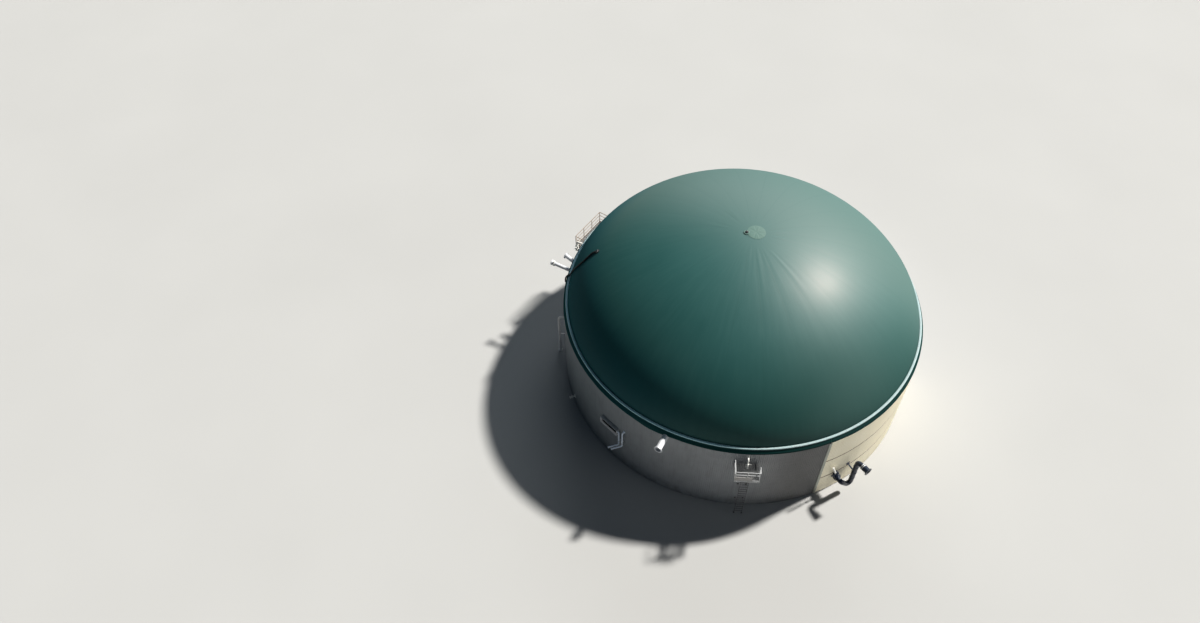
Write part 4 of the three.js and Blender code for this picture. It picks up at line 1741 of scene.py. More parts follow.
@dataclass
class PipeEnd:
    """A pipe end that stands out from the wall: collar, banded pipe and drilled flange."""

    name: str
    node: str
    angle: float
    height: float
    radius: float
    end: float
    rim: float
    finish: Finish
    holes: int = 8
    turn: float = 0.0
    seal: float = 0.0
    band_pitch: float = 0.3
    wall: float = 0.01
    depth: float = 0.5

    def __post_init__(self) -> None:
        """Works out the pipe's axis and bore."""
        self.foot = (0.0, 0.0, self.height)
        self.bore = self.radius - self.wall

    def collar(self) -> list[Piece]:
        """Builds the bolted collar on the wall, or a plain seal where it is a slim one.

        Returns:
            The collar's pieces.
        """
        rim = self.seal or self.rim
        plate = Bench.collar(BURIED, PLATE_FACE, rim, self.foot, 0.006, 0.008, sides=40)
        if self.seal:
            return coated(self.finish, plate)
        ring = (rim + self.radius) / 2
        heads = Bench.bolts((PLATE_FACE, 0.0, self.height), 0.014, self.holes, ring)
        return coated(self.finish, plate) + coated(ZINC, heads)

    def pipe(self) -> list[Piece]:
        """Builds the hollow pipe with its clamping bands.

        Returns:
            The pipe and its bands.
        """
        r, tip = self.radius, self.end - 0.02
        inside = self.end - min(self.depth, self.end - 12.3)
        start, along = (12.18, 12.27) if self.turn == 0.0 else (12.05, 12.38)
        hollow = [(tip, self.bore), (inside, self.bore), (inside, 0.0)]
        profile = [(start, 0.0), (start, r), (tip, r), *hollow]
        pieces = [Bench.turned(profile, self.foot, sides=40)]
        while along < self.end - 0.08:
            pieces.append(Bench.hoop(along, along + 0.025, r - 0.001, r + 0.004, self.foot))
            along += self.band_pitch
        return coated(self.finish, *pieces)

    def face(self) -> list[Piece]:
        """Builds the flange at the free end.

        Returns:
            The flange, as the one piece of a list.
        """
        seat = self.radius + 0.25 * (self.rim - self.radius)
        ring = (seat + self.rim) / 2
        return coated(self.finish, Bench.flange(
            self.foot, self.end, self.bore, self.rim, seat, self.holes, ring, 0.012,
        ))

    def extras(self) -> list[Piece]:
        """Returns further pieces on the pipe; none on a plain end."""
        return []

    def build(self) -> None:
        """Builds the pipe end and swings it to its place."""
        line = Bench.joined(self.name, [*self.pipe(), *self.face(), *self.extras()])
        Bench.swung(line, (WALL_OUTER, 0.0), self.turn)
        assemble(self.name, [line, *self.collar()], self.angle, self.finish, self.node)


@dataclass
class ValvedPipeEnd(PipeEnd):
    """A pipe end with a butterfly valve and its lever."""

    valve_at: float = 13.62
    valve_half: float = 0.045
    valve_radius: float = 0.19
    lever_top: float = 0.33

    def extras(self) -> list[Piece]:
        """Builds the valve between two flanges, with its neck and lever.

        Returns:
            The valve's pieces.
        """
        x, z, rim, half = self.valve_at, self.height, self.valve_radius, self.valve_half
        top, grip = z + self.lever_top, z + self.lever_top - 0.038
        body = mirrored(x, (
            (half, self.radius), (half, rim - 0.006), (0.03, rim), (0.02, rim), (0.016, rim - 0.02),
        ))
        painted = coated(
            WHITE_PAINT,
            Bench.turned(body, self.foot, sides=40),
            Bench.drum((x, 0, z + rim - 0.03), (x, 0, top - 0.05), 0.036, 16),
            Bench.block((x - half, -0.05, top - 0.07), (x + half, 0.05, top - 0.045)),
            Bench.block((x - 0.016, -0.05, top - 0.045), (x + 0.016, 0.15, top - 0.032), 0.004),
            Bench.drum((x, 0.05, grip), (x, 0.148, grip), 0.017, 12, 0.005),
        )
        return painted + coated(ZINC, Bench.bolts((x + half, 0.0, z), 0.012, 8, rim - 0.028))


@dataclass(frozen=True)
class HeatingLine:
    """One insulated heating pipe: where it starts, drops and turns away."""

    y: float
    top: float
    low: float
    start: tuple[float, float]


@dataclass
class HeatingManifold:
    """The cover over the heating lines, open in a long slot, and the twin pipes beside it."""

    angle: float = -137.7
    left: float = -0.80
    right: float = 0.74
    low: float = 3.23
    high: float = 3.77
    depth: float = 0.21
    slot: tuple[float, float, float, float] = (-0.62, 0.67, 3.47, 3.72)
    branches: int = 6
    pipe_axis: float = 12.32
    pipe_radius: float = 0.055
    bend: float = 0.105
    turn: float = -26.0
    leg: float = 0.75
    lines: tuple[HeatingLine, ...] = (
        HeatingLine(0.87, 3.62, 2.2, (12.32, 0.70)),
        HeatingLine(1.18, 3.9, 2.37, (12.1, 1.18)),
    )

    def box(self) -> Piece:
        """Cuts the slot out of the cover and gives its inside faces black rubber, painted shade in
        the slot.

        Returns:
            The cover.
        """
        front, near = WALL_OUTER + self.depth, 0.001
        y0, y1, z0, z1 = self.slot
        cover = Bench.block((12.185, self.left, self.low), (front, self.right, self.high), 0.0)
        Bench.cut(cover, Bench.block((12.26, y0, z0), (front + 0.05, y1, z1), 0.0))
        coated(ZINC, cover)
        # painted shade: the faces inside the slot take the black rubber finish
        cover.data.materials.append(RUBBER.material())
        for face in cover.data.polygons:
            x, y, z = face.center
            if x < front - near and y0 - near < y < y1 + near and z0 - near < z < z1 + near:
                face.material_index = 1
        return Bench.soften(cover, 0.003, 2)

    def build_cover(self) -> None:
        """Builds the cover with the headers inside it, black as painted shade, its lips and its
        screws.
        """
        front, lap = WALL_OUTER + self.depth, 0.012
        y0, y1, z0, z1 = self.slot
        cover, middle = self.box(), (z0 + z1) / 2
        inside = [Bench.tube([(12.33, y0 + 0.04, middle), (12.33, y1 - 0.04, middle)], 0.045)]
        for y in (y0 + 0.12 + 0.21 * index for index in range(self.branches)):
            inside.append(Bench.drum((12.31, y, middle), (12.29, y, z0 + 0.01), 0.018, 12))
        left, right, low, high = self.left - lap, self.right + lap, self.low, self.high
        lips = (
            Bench.block((front - lap, left, low - lap), (front + 0.022, right, low + 0.055)),
            Bench.block((front - lap, left, low), (front + 0.018, left + 0.062, high + lap)),
            Bench.block((front - 0.002, left, high - 0.004), (front + lap, right, high + lap)),
        )
        across = [self.left + 0.12 + 0.33 * index for index in range(5)]
        # painted shade: the headers in the slot are black rubber, not lagging
        pieces = [cover, *coated(RUBBER, *inside), *coated(LAGGING, *lips)]
        pieces += coated(ZINC, *Bench.bolt_grid(front, across, (low + 0.15,), 0.01))
        assemble("heating_cover_box", pieces, self.angle, ZINC, "heating_cover")

    def run(self, line: HeatingLine) -> list[Piece]:
        """Builds one insulated pipe with its joint sleeves and end flange.

        Args:
            line: The pipe's course.

        Returns:
            The pieces of the run.
        """
        x, y, r, end = self.pipe_axis, line.y, self.pipe_radius, self.pipe_axis + self.leg
        away = on_circle(self.leg - 0.01, self.turn, line.low)
        corners = [
            (*line.start, line.top), (x, y, line.top), (x, y, line.low),
            (x + away[0], y + away[1], line.low),
        ]
        inner, outer, wide = r - 0.001, r + 0.004, 0.02
        upright = [Bench.tube(Bench.bent(corners, self.bend), r, 4)]
        for level in (line.low + 0.22, (line.low + line.top) / 2 + 0.12, line.top - 0.14):
            upright.append(Bench.hoop(level, level + wide, inner, outer, (x, y, 0.0), UP, 28))
        foot = (0.0, y, line.low)
        out = [
            Bench.hoop(along, along + wide, inner, outer, foot, sides=28)
            for along in (x + 0.2, x + 0.5)
        ]
        out.append(Bench.turned([
            (end - 0.03, 0.0), (end - 0.03, 0.078), (end - 0.026, 0.082), (end - 0.006, 0.082),
            (end - 0.003, 0.079), (end - 0.003, 0.05), (end, 0.047), (end, 0.034),
            (end - 0.025, 0.034), (end - 0.025, 0.0),
        ], foot))
        heads = coated(ZINC, Bench.bolts((end - 0.012, y, line.low), 0.008, 4, 0.066))
        # the heating pipes take the sky-lit lagging, painted light
        painted = coated(SKYLIT_HEATING_LAGGING, *upright, *out)
        for piece in [*out, *heads]:
            Bench.swung(piece, (x, y), self.turn)
        return painted + heads

    def build_pipes(self) -> None:
        """Builds the twin pipes, the collar of the outer one and the bracket that carries them."""
        pieces = [piece for line in self.lines for piece in self.run(line)]
        foot = (0.0, self.lines[1].y, self.lines[1].top)
        # the collar also takes the painted skylight
        pieces += coated(SKYLIT_HEATING_LAGGING, Bench.collar(12.1, 12.174, 0.1, foot, 0.006))
        bracket = [
            Bench.block((12.16, 0.81, 2.64), (12.34, 1.24, 2.7), 0.004),
            Bench.block((12.16, 0.87, 2.55), (WALL_OUTER, 1.18, 2.79), 0.004),
            *Bench.bolt_grid(WALL_OUTER, (0.91, 1.14), (2.59, 2.75), 0.012),
        ]
        for line in self.lines:
            foot = (self.pipe_axis, line.y, 0.0)
            bracket.append(Bench.hoop(2.65, 2.69, 0.056, 0.066, foot, UP, 28))
        pieces += coated(ZINC, *bracket)
        assemble("heating_pipe_pair", pieces, self.angle, SKYLIT_HEATING_LAGGING, "heating_pipes")

    def build(self) -> None:
        """Builds the cover and the pipes."""
        self.build_cover()
        self.build_pipes()


@dataclass
class SideRiser:
    """The thin pipe that leaves the wall at the left and runs down to the ground."""

    angle: float = 177.0
    axis: float = 12.68
    height: float = 3.8
    radius: float = 0.09

    def build(self) -> None:
        """Builds the riser with its collars, clamps and bracket."""
        x, z, r = self.axis, self.height, self.radius
        foot, side = (x, 0.0, 0.0), (0.0, 0.0, z)
        corners = [(BURIED, 0.0, z), (x, 0.0, z), (x, 0.0, 0.02)]
        pieces = [
            Bench.tube(Bench.bent(corners, 0.2, 8), r, 5),
            Bench.collar(BURIED, PLATE_FACE, 0.16, side, 0.008),
            Bench.bolts((PLATE_FACE, 0.0, z), 0.012, 6, 0.128),
            Bench.collar(0.0, 0.04, 0.16, foot, 0.01, axis=UP),
            Bench.bolts((x, 0.0, 0.04), 0.012, 6, 0.125, UP),
        ]
        for level in (0.9, 1.93, 2.9):
            pieces.append(Bench.hoop(level - 0.025, level + 0.025, r, r + 0.012, foot, UP, 28))
        pieces += [
            Bench.block((WALL_OUTER, -0.03, 1.9), (x - 0.09, 0.03, 1.96), 0.004),
            Bench.block((WALL_OUTER, -0.09, 1.83), (PLATE_FACE, 0.09, 2.03), 0.004),
            *Bench.bolt_grid(PLATE_FACE, (-0.06, 0.06), (1.86, 2.0), 0.012),
        ]
        # the riser takes the lightened zinc, painted light
        assemble("side_riser_pipe", pieces, self.angle, LIGHTENED_RISER_ZINC, "side_riser")


@dataclass
class SlurryLine:
    """The dark slurry line: wall nozzle, leaning knife gate valve, and the rising pipe."""

    angle: float = -62.8
    height: float = 1.5
    radius: float = 0.165
    flange: float = 0.25
    holes: int = 12
    sideways: float = 0.92
    low: float = 0.4
    middle: float = 2.0
    top: float = 3.33
    nozzle_end: float = 12.37
    valve_end: float = 12.5003
    riser_x: float = 12.8603
    leg: float = 0.9
    turn: float = 7.4
    lean: float = 22.0
    vent_at: float = 0.75
    vent_length: float = 0.285
    sleeve: float = 0.205
    sleeve_start: float = 0.34
    sleeve_flange: float = 0.29

    def ring(self, start: float, end: float, at_end: bool) -> list[Piece]:
        """Builds one flange of the wall nozzle's height, with its bolt heads.

        Args:
            start: Where it starts along X.
            end: Where it ends along X.
            at_end: True where the heads stand out at its end, False at its start.

        Returns:
            The flange and its bolts.
        """
        rim, half, edge = self.flange, (end - start) / 2, 0.004
        profile = mirrored(start + half, ((half, 0.0), (half, rim - edge), (half - edge, rim)))
        plate = Bench.turned(profile, (0.0, 0.0, self.height), sides=40)
        at = end if at_end else start
        heads = Bench.bolts((at, 0.0, self.height), 0.016, self.holes, rim - 0.038)
        if not at_end:
            for vertex in heads.data.vertices:
                vertex.co.x = 2 * at - vertex.co.x
            with Bench.editing(heads):
                bpy.ops.mesh.flip_normals()
        return coated(SLURRY_PIPE, plate) + coated(ZINC, heads)

    def build_nozzle(self) -> None:
        """Builds the nozzle on the wall."""
        foot, rim, end = (0.0, 0.0, self.height), self.flange + 0.03, self.nozzle_end
        r, tip = self.radius, self.nozzle_end - 0.02
        pipe = [(WALL_OUTER, 0.0), (WALL_OUTER, r), (tip, r), (tip, 0.0)]
        pieces = coated(
            SLURRY_PIPE,
            Bench.collar(BURIED, PLATE_FACE, rim, foot, 0.006, sides=40),
            Bench.turned(pipe, foot, sides=40),
        )
        heads = Bench.bolts((PLATE_FACE, 0.0, self.height), 0.016, self.holes, rim - 0.04)
        pieces += coated(ZINC, heads) + self.ring(end - 0.04, end, False)
        assemble("slurry_nozzle_pipe", pieces, self.angle, SLURRY_PIPE, "slurry_nozzle")

    def build_valve(self) -> None:
        """Builds the knife gate valve, whose yoke and white cylinder lean to one side."""
        start, end, rim = self.nozzle_end + CLEAR, self.valve_end, self.flange
        x, half = (start + end) / 2, (end - start) / 2
        body = mirrored(x, (
            (half, 0.0), (half, rim - 0.004), (half - 0.004, rim), (half - 0.034, rim),
            (half - 0.038, rim - 0.014),
        ))
        dark = [Bench.turned(body, sides=48)]
        for wide, y0, y1, low, high, edge, rounds in (
            (0.04, -0.2, 0.2, 0.0, 0.54, 0.006, 2),  # the gate's case
            (0.058, -0.222, 0.222, 0.53, 0.568, 0.005, 2),  # its gland
            (0.025, -0.15, -0.115, 0.56, 0.88, 0.003, 1),  # the yoke's two legs
            (0.025, 0.115, 0.15, 0.56, 0.88, 0.003, 1),
            (0.058, -0.162, 0.162, 0.87, 0.898, 0.004, 1),  # the bridge under the cylinder
        ):
            dark.append(Bench.block((x - wide, y0, low), (x + wide, y1, high), edge, rounds))
        metal = [Bench.drum((x, 0.0, 0.5), (x, 0.0, 0.9), 0.022, 16)]
        metal += [Bench.bolts((x, y, 0.568), 0.014, axis=UP) for y in (-0.19, -0.1, 0.1, 0.19)]
        cylinder = Bench.turned([
            (0.898, 0.0), (0.898, 0.07), (0.93, 0.07), (0.934, 0.06), (1.76, 0.06), (1.764, 0.064),
            (1.79, 0.064), (1.8, 0.052), (1.8, 0.0),
        ], (x, 0.0, 0.0), UP)
        pieces = coated(SLURRY_PIPE, *dark) + coated(ZINC, *metal) + coated(WHITE_PAINT, cylinder)
        whole = Bench.joined("slurry_gate_valve", pieces)
        lift = Matrix.Translation((0.0, 0.0, self.height))
        lean = Matrix.Rotation(math.radians(self.lean), 4, "X")
        whole.matrix_basis = lift @ lean @ whole.matrix_basis
        dress(Bench.settle(whole, self.angle), SLURRY_PIPE, "slurry_valve")

    def build_leg(self) -> list[Piece]:
        """Builds the end of the last leg with its flange, bands and vent, turned to its course.

        Returns:
            The leg's pieces.
        """
        x, y, z = self.riser_x, self.sideways, self.top
        foot, thick = (0.0, y, z), self.sleeve
        start, end, bore = x + self.sleeve_start, x + self.leg, self.radius - 0.016
        last = Bench.turned([
            (start, 0.0), (start, thick - 0.012), (start + 0.012, thick), (end - 0.02, thick),
            (end - 0.02, bore), (end - 0.3, bore), (end - 0.3, 0.0),
        ], foot, sides=48)
        face = Bench.flange(
            foot, end, bore, self.sleeve_flange, 0.235, self.holes, 0.262, 0.011
        )
        bands = [
            Bench.hoop(along, along + 0.045, thick - 0.001, thick + 0.003, foot, sides=48)
            for along in (start + 0.03, start + 0.13)
        ]
        at, tip = x + self.vent_at, y - self.vent_length
        vent = (
            Bench.drum((at, y, z), (at, tip + 0.03, z), 0.034, 20, 0.0),
            Bench.drum((at, tip + 0.05, z), (at, tip, z), 0.045, 20, 0.005),
        )
        pieces = coated(SLURRY_PIPE, last, face) + coated(ZINC, *bands) + coated(WHITE_PAINT, *vent)
        return [Bench.swung(piece, (x, y), self.turn) for piece in pieces]

    def build_riser(self) -> None:
        """Builds the rising pipe with its flanges, weld rings, vent and bracket."""
        start, x, y, r = self.valve_end + CLEAR, self.riser_x, self.sideways, self.radius
        foot, away = (x, y, 0.0), on_circle(self.leg - 0.3, self.turn, self.top)
        lower = [
            (start, 0.0, self.height), (x, 0.0, self.height), (x, y, self.low), (x, y, self.middle),
        ]
        upper = [(x, y, self.middle), (x, y, self.top), (x + away[0], y + away[1], self.top)]
        course = [*Bench.bent(lower, 0.215, 9), *Bench.bent(upper, 0.3, 9)[1:]]
        pieces = coated(SLURRY_PIPE, Bench.tube(course, r, 6)) + self.build_leg()
        pieces += self.ring(start, start + 0.04, True)
        rings = ((1.45, 1.48, 0.012), (2.75, 2.78, 0.012), (2.07, 2.16, 0.014))
        pieces += coated(
            SLURRY_PIPE,
            *(Bench.hoop(low, high, r, r + rise, foot, UP) for low, high, rise in rings),
            Bench.block((12.15, y - 0.04, 2.08), (x - 0.15, y + 0.04, 2.15), 0.004),
            Bench.block((12.15, y - 0.13, 1.98), (WALL_OUTER, y + 0.13, 2.25), 0.004),
        )
        across = (y - 0.09, y + 0.09)
        pieces += coated(ZINC, *Bench.bolt_grid(WALL_OUTER, across, (2.02, 2.21), 0.014))
        assemble("slurry_riser_pipe", pieces, self.angle, SLURRY_PIPE, "slurry_riser")

    def build(self) -> None:
        """Builds the whole line."""
        self.build_nozzle()
        self.build_valve()
        self.build_riser()


@dataclass
class DrainCock:
    """The small valved drain near the foot of the wall."""

    angle: float = -160.2
    height: float = 0.88
    valve_at: float = 12.455
    face_at: float = 12.605

    def build(self) -> None:
        """Builds the drain with its ball valve and lever."""
        x, z, foot = self.valve_at, self.height, (0.0, 0.0, self.height)
        half = ((0.055, 0.0), (0.055, 0.07), (0.05, 0.078), (0.03, 0.078), (0.025, 0.088))
        pipe = [
            (WALL_OUTER, 0.0), (WALL_OUTER, 0.06), (12.6, 0.06), (12.6, 0.05), (12.55, 0.05),
            (12.55, 0.0),
        ]
        body = mirrored(x, half)
        body.insert(len(half), (x, 0.095))
        face = mirrored(self.face_at, ((0.015, 0.05), (0.015, 0.106), (0.011, 0.11)))
        pieces = coated(
            WHITE_PAINT,
            Bench.collar(BURIED, SLIM_FACE, 0.15, foot, 0.007),
            Bench.turned(pipe, foot), Bench.turned(body, foot), Bench.turned(face, foot),
            Bench.drum((x, 0.0, z + 0.08), (x, 0.0, z + 0.2), 0.02, 16),
        )
        pieces += coated(
            ZINC,
            Bench.block((x - 0.015, -0.15, z + 0.185), (x + 0.015, 0.03, z + 0.2), 0.004),
            Bench.bolts((SLIM_FACE, 0.0, z), 0.01, 6, 0.115),
        )
        assemble("drain_cock", pieces, self.angle, WHITE_PAINT, "drain_nozzle")


# Service platforms


@dataclass
class ServicePlatform:
    """A grated deck on wall brackets, with its railing, ladder and relief valve."""

    name: str
    angle: float
    front: float
    half: float
    bracket: float
    posts: int
    knees: tuple[float, ...]
    starts: tuple[float, float]
    ladder_angle: float
    valve_angle: float
    valve_radius: float
    valve_size: float
    infill_end: float | None = None
    rail_finish: Finish = ZINC
    deck: float = 5.25
    deck_thickness: float = 0.06
    back: float = 12.24
    drop: float = 0.76
    rail_height: float = 1.05
    rail_inset: float = 0.024
    toe: float = 0.12
    infill: tuple[float, float] = (0.09, 0.5)
    bar_pitch: float = 0.033
    rod_pitch: float = 0.1
    ladder_axis: float = 12.82
    ladder_half: float = 0.25
    rung_pitch: float = 0.28
    inlet: float = 6.08

    def build_deck(self) -> None:
        """Builds the open grating, its frame and the brackets that carry it."""
        top, low, edge = self.deck, self.deck - self.deck_thickness, 0.007
        back, front, half = self.back, self.front, self.half
        side = half - 0.004
        ends = (back + 0.012, -side, top - 0.032), (back + 0.0155, side, top - 0.002)
        bar = Bench.block(*ends, 0.0)
        Bench.row(bar, int((front - back - 0.02) / self.bar_pitch), (self.bar_pitch, 0.0, 0.0))
        first = 0.08 - half
        ends = (back + 0.004, first, top - 0.01), (front - 0.004, first + edge, top - 0.003)
        rod = Bench.block(*ends, 0.0)
        Bench.row(rod, int((2 * half - 0.1) / self.rod_pitch), (0.0, self.rod_pitch, 0.0))
        steel = []
        for x0, y0, x1, y1, z1 in (
            (front - edge, -half, front, half, top + 0.003),
            (back, -half, back + edge, half, top),
            (back, -half, front, -half + edge, top),
            (back, half - edge, front, half, top),
        ):
            steel.append(Bench.block((x0, y0, low), (x1, y1, z1), 0.002))
        for y in (-self.bracket, self.bracket):
            steel += self.build_bracket(y, low)
        # the grating's dark finish carries painted shade
        pieces = coated(SHADE_DARKENED_GRATING, bar, rod) + coated(ZINC, *steel)
        name = f"{self.name}_platform"
        assemble(f"{name}_deck", pieces, self.angle, SHADE_DARKENED_GRATING, name)

    def build_bracket(self, y: float, low: float) -> list[Piece]:
        """Builds one bracket: arm, wall plate, ears and diagonal strut.

        Args:
            y: Its place along the platform.
            low: The height of the deck's underside.

        Returns:
            The bracket's pieces.
        """
        foot, tip, face = low - self.drop, self.front - 0.04, PLATE_FACE
        pieces = []
        for x0, x1, wide, z0, z1, edge in (
            (12.22, tip, 0.004, low - 0.08, low, 0.001),  # the arm's web and flanges
            (12.22, tip, 0.035, low - 0.08, low - 0.072, 0.001),
            (12.22, tip, 0.035, low - 0.008, low, 0.001),
            (WALL_OUTER, 12.235, 0.035, foot, low, 0.003),  # the plate on the wall
            (WALL_OUTER, face, 0.08, low - 0.14, low - 0.02, 0.003),  # its ears, above and below
            (WALL_OUTER, face, 0.08, foot, foot + 0.12, 0.003),
        ):
            pieces.append(Bench.block((x0, y - wide, z0), (x1, y + wide, z1), edge))
        a, b = Vector((WALL_OUTER, y, foot + 0.06)), Vector((self.front - 0.12, y, low - 0.04))
        strut = Bench.block((-0.03, -0.03, 0.0), (0.03, 0.03, (b - a).length), 0.006, 2)
        way = Vector(UP).rotation_difference(b - a).to_matrix().to_4x4()
        strut.matrix_basis = Matrix.Translation(a) @ way
        levels = (low - 0.11, low - 0.05, foot + 0.03, foot + 0.09)
        bolts = Bench.bolt_grid(face, (y - 0.058, y + 0.058), levels, 0.014)
        return [*pieces, Bench.settle(strut), *bolts]

    def build_infill(self) -> list[Piece]:
        """Builds the pale board that closes part of the front railing: sheet, folds and ribs.

        Returns:
            The board's pieces.
        """
        face = self.front + 0.01
        left, right, back = self.rail_inset - self.half - 0.02, self.infill_end, face - 0.02
        low, high = (self.deck + level for level in self.infill)
        thick = 0.003
        pieces = []
        for x0, x1, y0, y1, z0, z1 in (
            (face - 0.006, face - thick, left, right, low, high),
            (back, face, left, right, high - thick, high),
            (back, face, left, right, low, low + thick),
            (back, face, left, left + thick, low, high),
            (back, face, right - thick, right, low, high),
        ):
            pieces.append(Bench.block((x0, y0, z0), (x1, y1, z1), 0.001))
        for level in (low + share * (high - low) for share in (0.33, 0.66)):
            ends = (face - 0.005, left + 0.01, level - 0.012), (face, right - 0.01, level + 0.012)
            pieces.append(Bench.block(*ends, 0.002))
        return coated(BOARD_PAINT, *pieces)

    def post(self, x: float, y: float) -> list[Piece]:
        """Builds one railing post with its plate, sleeve and the collars of the knee rails.

        Args:
            x: The post's place out from the wall.
            y: Its place along the platform.

        Returns:
            The post's pieces.
        """
        foot, top = self.deck + CLEAR, self.deck + self.rail_height
        pieces = [
            Bench.drum((x, y, foot + 0.006), (x, y, top - 0.025), 0.021, 16, 0.0),
            Bench.block((x - 0.022, y - 0.022, foot), (x + 0.022, y + 0.022, foot + 0.01), 0.002),
            Bench.drum((x, y, foot + 0.01), (x, y, foot + 0.06), 0.0225, 16),
        ]
        for level in (self.deck + knee for knee in self.knees):
            pieces.append(Bench.drum((x, y, level - 0.022), (x, y, level + 0.022), 0.0235, 16))
        return pieces

    def build_railing(self) -> None:
        """Builds the railing round three sides, with its toe boards and its pale board."""
        side, x = self.half - self.rail_inset, self.front - self.rail_inset
        left, right = self.starts
        corners = [(left, -side), (x, -side), (x, side), (right, side)]
        levels = [(self.deck + self.rail_height - 0.025, 0.025)]
        levels += [(self.deck + knee, 0.021) for knee in self.knees]
        pieces = []
        for height, radius in levels:
            run = Bench.bent([(a, b, height) for a, b in corners], 0.07, 5)
            pieces.append(Bench.tube(run, radius))
        pitch = (2 * side - 0.04) / (self.posts - 1)
        places = [(left, -side), (right, side)]
        places += [(x, -side + 0.02 + pitch * index) for index in range(self.posts)]
        for a, b in places:
            pieces += self.post(a, b)
        low, high, thin = self.deck + CLEAR + 0.012, self.deck + self.toe, 0.004
        for x0, x1, y0, y1, z0 in (
            (x - thin, x + thin, -side, side, low),  # the toe boards, and the front one's lip
            (left, x, -side - thin, -side + thin, low),
            (right, x, side - thin, side + thin, low),
            (x - 0.016, x + thin, -side, side, high - 0.006),
        ):
            pieces.append(Bench.block((x0, y0, z0), (x1, y1, high), 0.002))
        coated(self.rail_finish, *pieces)
        if self.infill_end is not None:
            pieces += self.build_infill()
        nodes = [f"{self.name}_rail_{part}" for part in ("front", "left", "right")]
        assemble(f"{self.name}_railing", pieces, self.angle, self.rail_finish, *nodes)

    def build_stile(self, side: int, top: float) -> list[Piece]:
        """Builds one of the ladder's stiles with its foot and the arms that hold it to the wall.

        Args:
            side: -1 or 1.
            top: The stile's height.

        Returns:
            The stile's pieces.
        """
        x, y = self.ladder_axis, side * self.ladder_half
        pieces = [
            Bench.block((x - 0.03, y - 0.008, 0.0), (x + 0.03, y + 0.008, top)),
            Bench.block((x - 0.055, y - 0.05, 0.0), (x + 0.055, y + 0.05, 0.01), 0.002),
        ]
        for a in (-0.035, 0.035):
            pieces.append(Bench.bolts((x + a, y + side * 0.03, 0.01), 0.012, axis=UP))
        for z in (0.9, 2.7, 4.2):
            pieces += [
                Bench.block((WALL_OUTER, y - 0.006, z - 0.025), (x, y + 0.006, z + 0.025), 0.002),
                Bench.block((WALL_OUTER, y - 0.05, z - 0.07), (12.232, y + 0.05, z + 0.07)),
                *Bench.bolt_grid(12.232, (y + side * 0.028,), (z - 0.045, z + 0.045), 0.012),
                Bench.drum((x - 0.015, y - 0.016, z), (x - 0.015, y + 0.016, z), 0.011, 6, 0.0),
            ]
        return pieces

    def build_ladder(self) -> None:
        """Builds the ladder from its stiles and rungs."""
        x, reach, pitch = self.ladder_axis, self.ladder_half + 0.004, self.rung_pitch
        top = self.deck - self.deck_thickness - CLEAR
        rung = Bench.drum((x, -reach, pitch), (x, reach, pitch), 0.014, 12, 0.002)
        Bench.row(rung, int((top - 0.1 - pitch) / pitch) + 1, (0.0, 0.0, pitch))
        pieces = [*self.build_stile(-1, top), *self.build_stile(1, top), rung]
        name, angle = f"{self.name}_ladder", self.ladder_angle
        # the ladder takes the darkened steel, painted shade
        assemble(f"{name}_steel", coated(SHADE_DARKENED_LADDER_STEEL, *pieces), angle, SHADE_DARKENED_LADDER_STEEL, name)

    def build_relief_valve(self) -> None:
        """Builds the relief valve: inlet bend, seal pot, body with its side arm and vent cap."""
        r, size, inlet, foot = self.valve_radius, self.valve_size, self.inlet, self.deck + CLEAR
        pot, hull, arm, tip = 0.105 * size, 0.1 * size, 0.038 * size, 0.23 * size
        course = Bench.bent([(BURIED, 0, inlet), (r, 0, inlet), (r, 0, foot + 0.1)], 0.12, 8)
        cup = [
            (0.0, 0.0), (0.0, pot - 0.015), (0.01, pot - 0.003), (0.03, pot - 0.012),
            (0.125, pot - 0.012), (0.13, pot), (0.15, pot), (0.155, pot - 0.012),
            (0.17, 0.07 * size), (0.17, 0.0),
        ]
        body = [
            (0.3, 0.0), (0.3, hull - 0.004), (0.304, hull), (0.32, hull), (0.326, hull - 0.016),
            (0.45, hull - 0.016), (0.456, hull), (0.476, hull), (0.48, hull - 0.004), (0.48, 0.0),
        ]
        level = foot + 0.39
        pieces = coated(
            WHITE_PAINT,
            Bench.tube(course, 0.055 * size, 4),
            Bench.collar(BURIED, SLIM_FACE, 0.105, (0.0, 0.0, inlet), 0.005),
            Bench.turned(cup, (r, 0.0, foot), UP, 36),
            Bench.turned(body, (r, 0.0, foot), UP),
            Bench.drum((r, -0.06, level), (r, tip - 0.02, level), arm - 0.004, 20, 0.0),
            Bench.drum((r, tip - 0.045, level), (r, tip, level), arm, 20, 0.005),
        )
        pieces += coated(
            ZINC,
            Bench.bolts((SLIM_FACE, 0.0, inlet), 0.01, 6, 0.083),
            Bench.bolts((r, 0.0, foot + 0.15), 0.008, 10, pot - 0.011, UP),
            Bench.bolts((r, 0.0, foot + 0.48), 0.007, 8, hull - 0.012, UP),
        )
        name = f"{self.name}_relief_valve"
        assemble(f"{name}_body", pieces, self.valve_angle, WHITE_PAINT, name)

    def build(self) -> None:
        """Builds the platform and everything on it."""
        self.build_deck()
        self.build_railing()
        self.build_ladder()
        self.build_relief_valve()


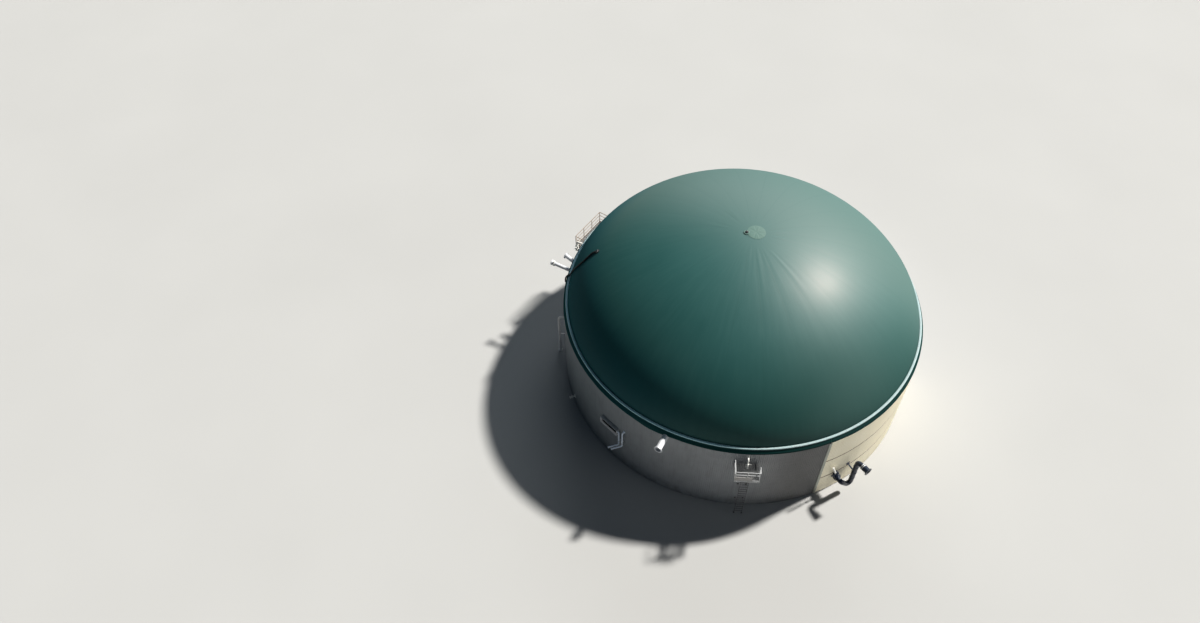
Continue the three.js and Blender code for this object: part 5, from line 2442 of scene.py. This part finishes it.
def main() -> None:
    """Builds the digester's sub-assemblies in order."""
    logging.basicConfig(level=logging.INFO, format="%(message)s")
    Studio().build()
    MembraneRoof().build()
    Rim().build()
    Cladding().build()
    PipeEnd(
        "gas_outlet_pipe", "gas_outlet", angle=-118.0, height=6.14, radius=0.2, end=13.3,
        rim=0.28, finish=LAGGING, holes=12, seal=0.226,
    ).build()
    PipeEnd(
        "gas_inlet_upper_pipe", "gas_inlet_upper", angle=160.5, height=5.85, radius=0.15,
        end=13.15, rim=0.22, finish=LAGGING, turn=-26.0,
    ).build()
    ValvedPipeEnd(
        "gas_inlet_lower_pipe", "gas_inlet_lower", angle=164.5, height=5.85, radius=0.13,
        end=13.85, rim=0.2, finish=LAGGING, turn=-15.0,
    ).build()
    HeatingManifold().build()
    SideRiser().build()
    SlurryLine().build()
    DrainCock().build()
    ServicePlatform(
        "front", angle=-93.85, front=13.5, half=0.775, bracket=0.61, posts=3, knees=(0.71,),
        starts=(12.64, 13.06), ladder_angle=-93.6, valve_angle=-93.6, valve_radius=12.52,
        valve_size=1.0, infill_end=0.32,
    ).build()
    ServicePlatform(
        "back", angle=144.6, front=13.0, half=1.56, bracket=1.26, posts=4, knees=(0.35, 0.7),
        starts=(12.264, 12.264), ladder_angle=144.5, valve_angle=152.6, valve_radius=12.8,
        valve_size=1.3, rail_finish=TANNED_ZINC,
    ).build()


if __name__ == "__main__":
    main()
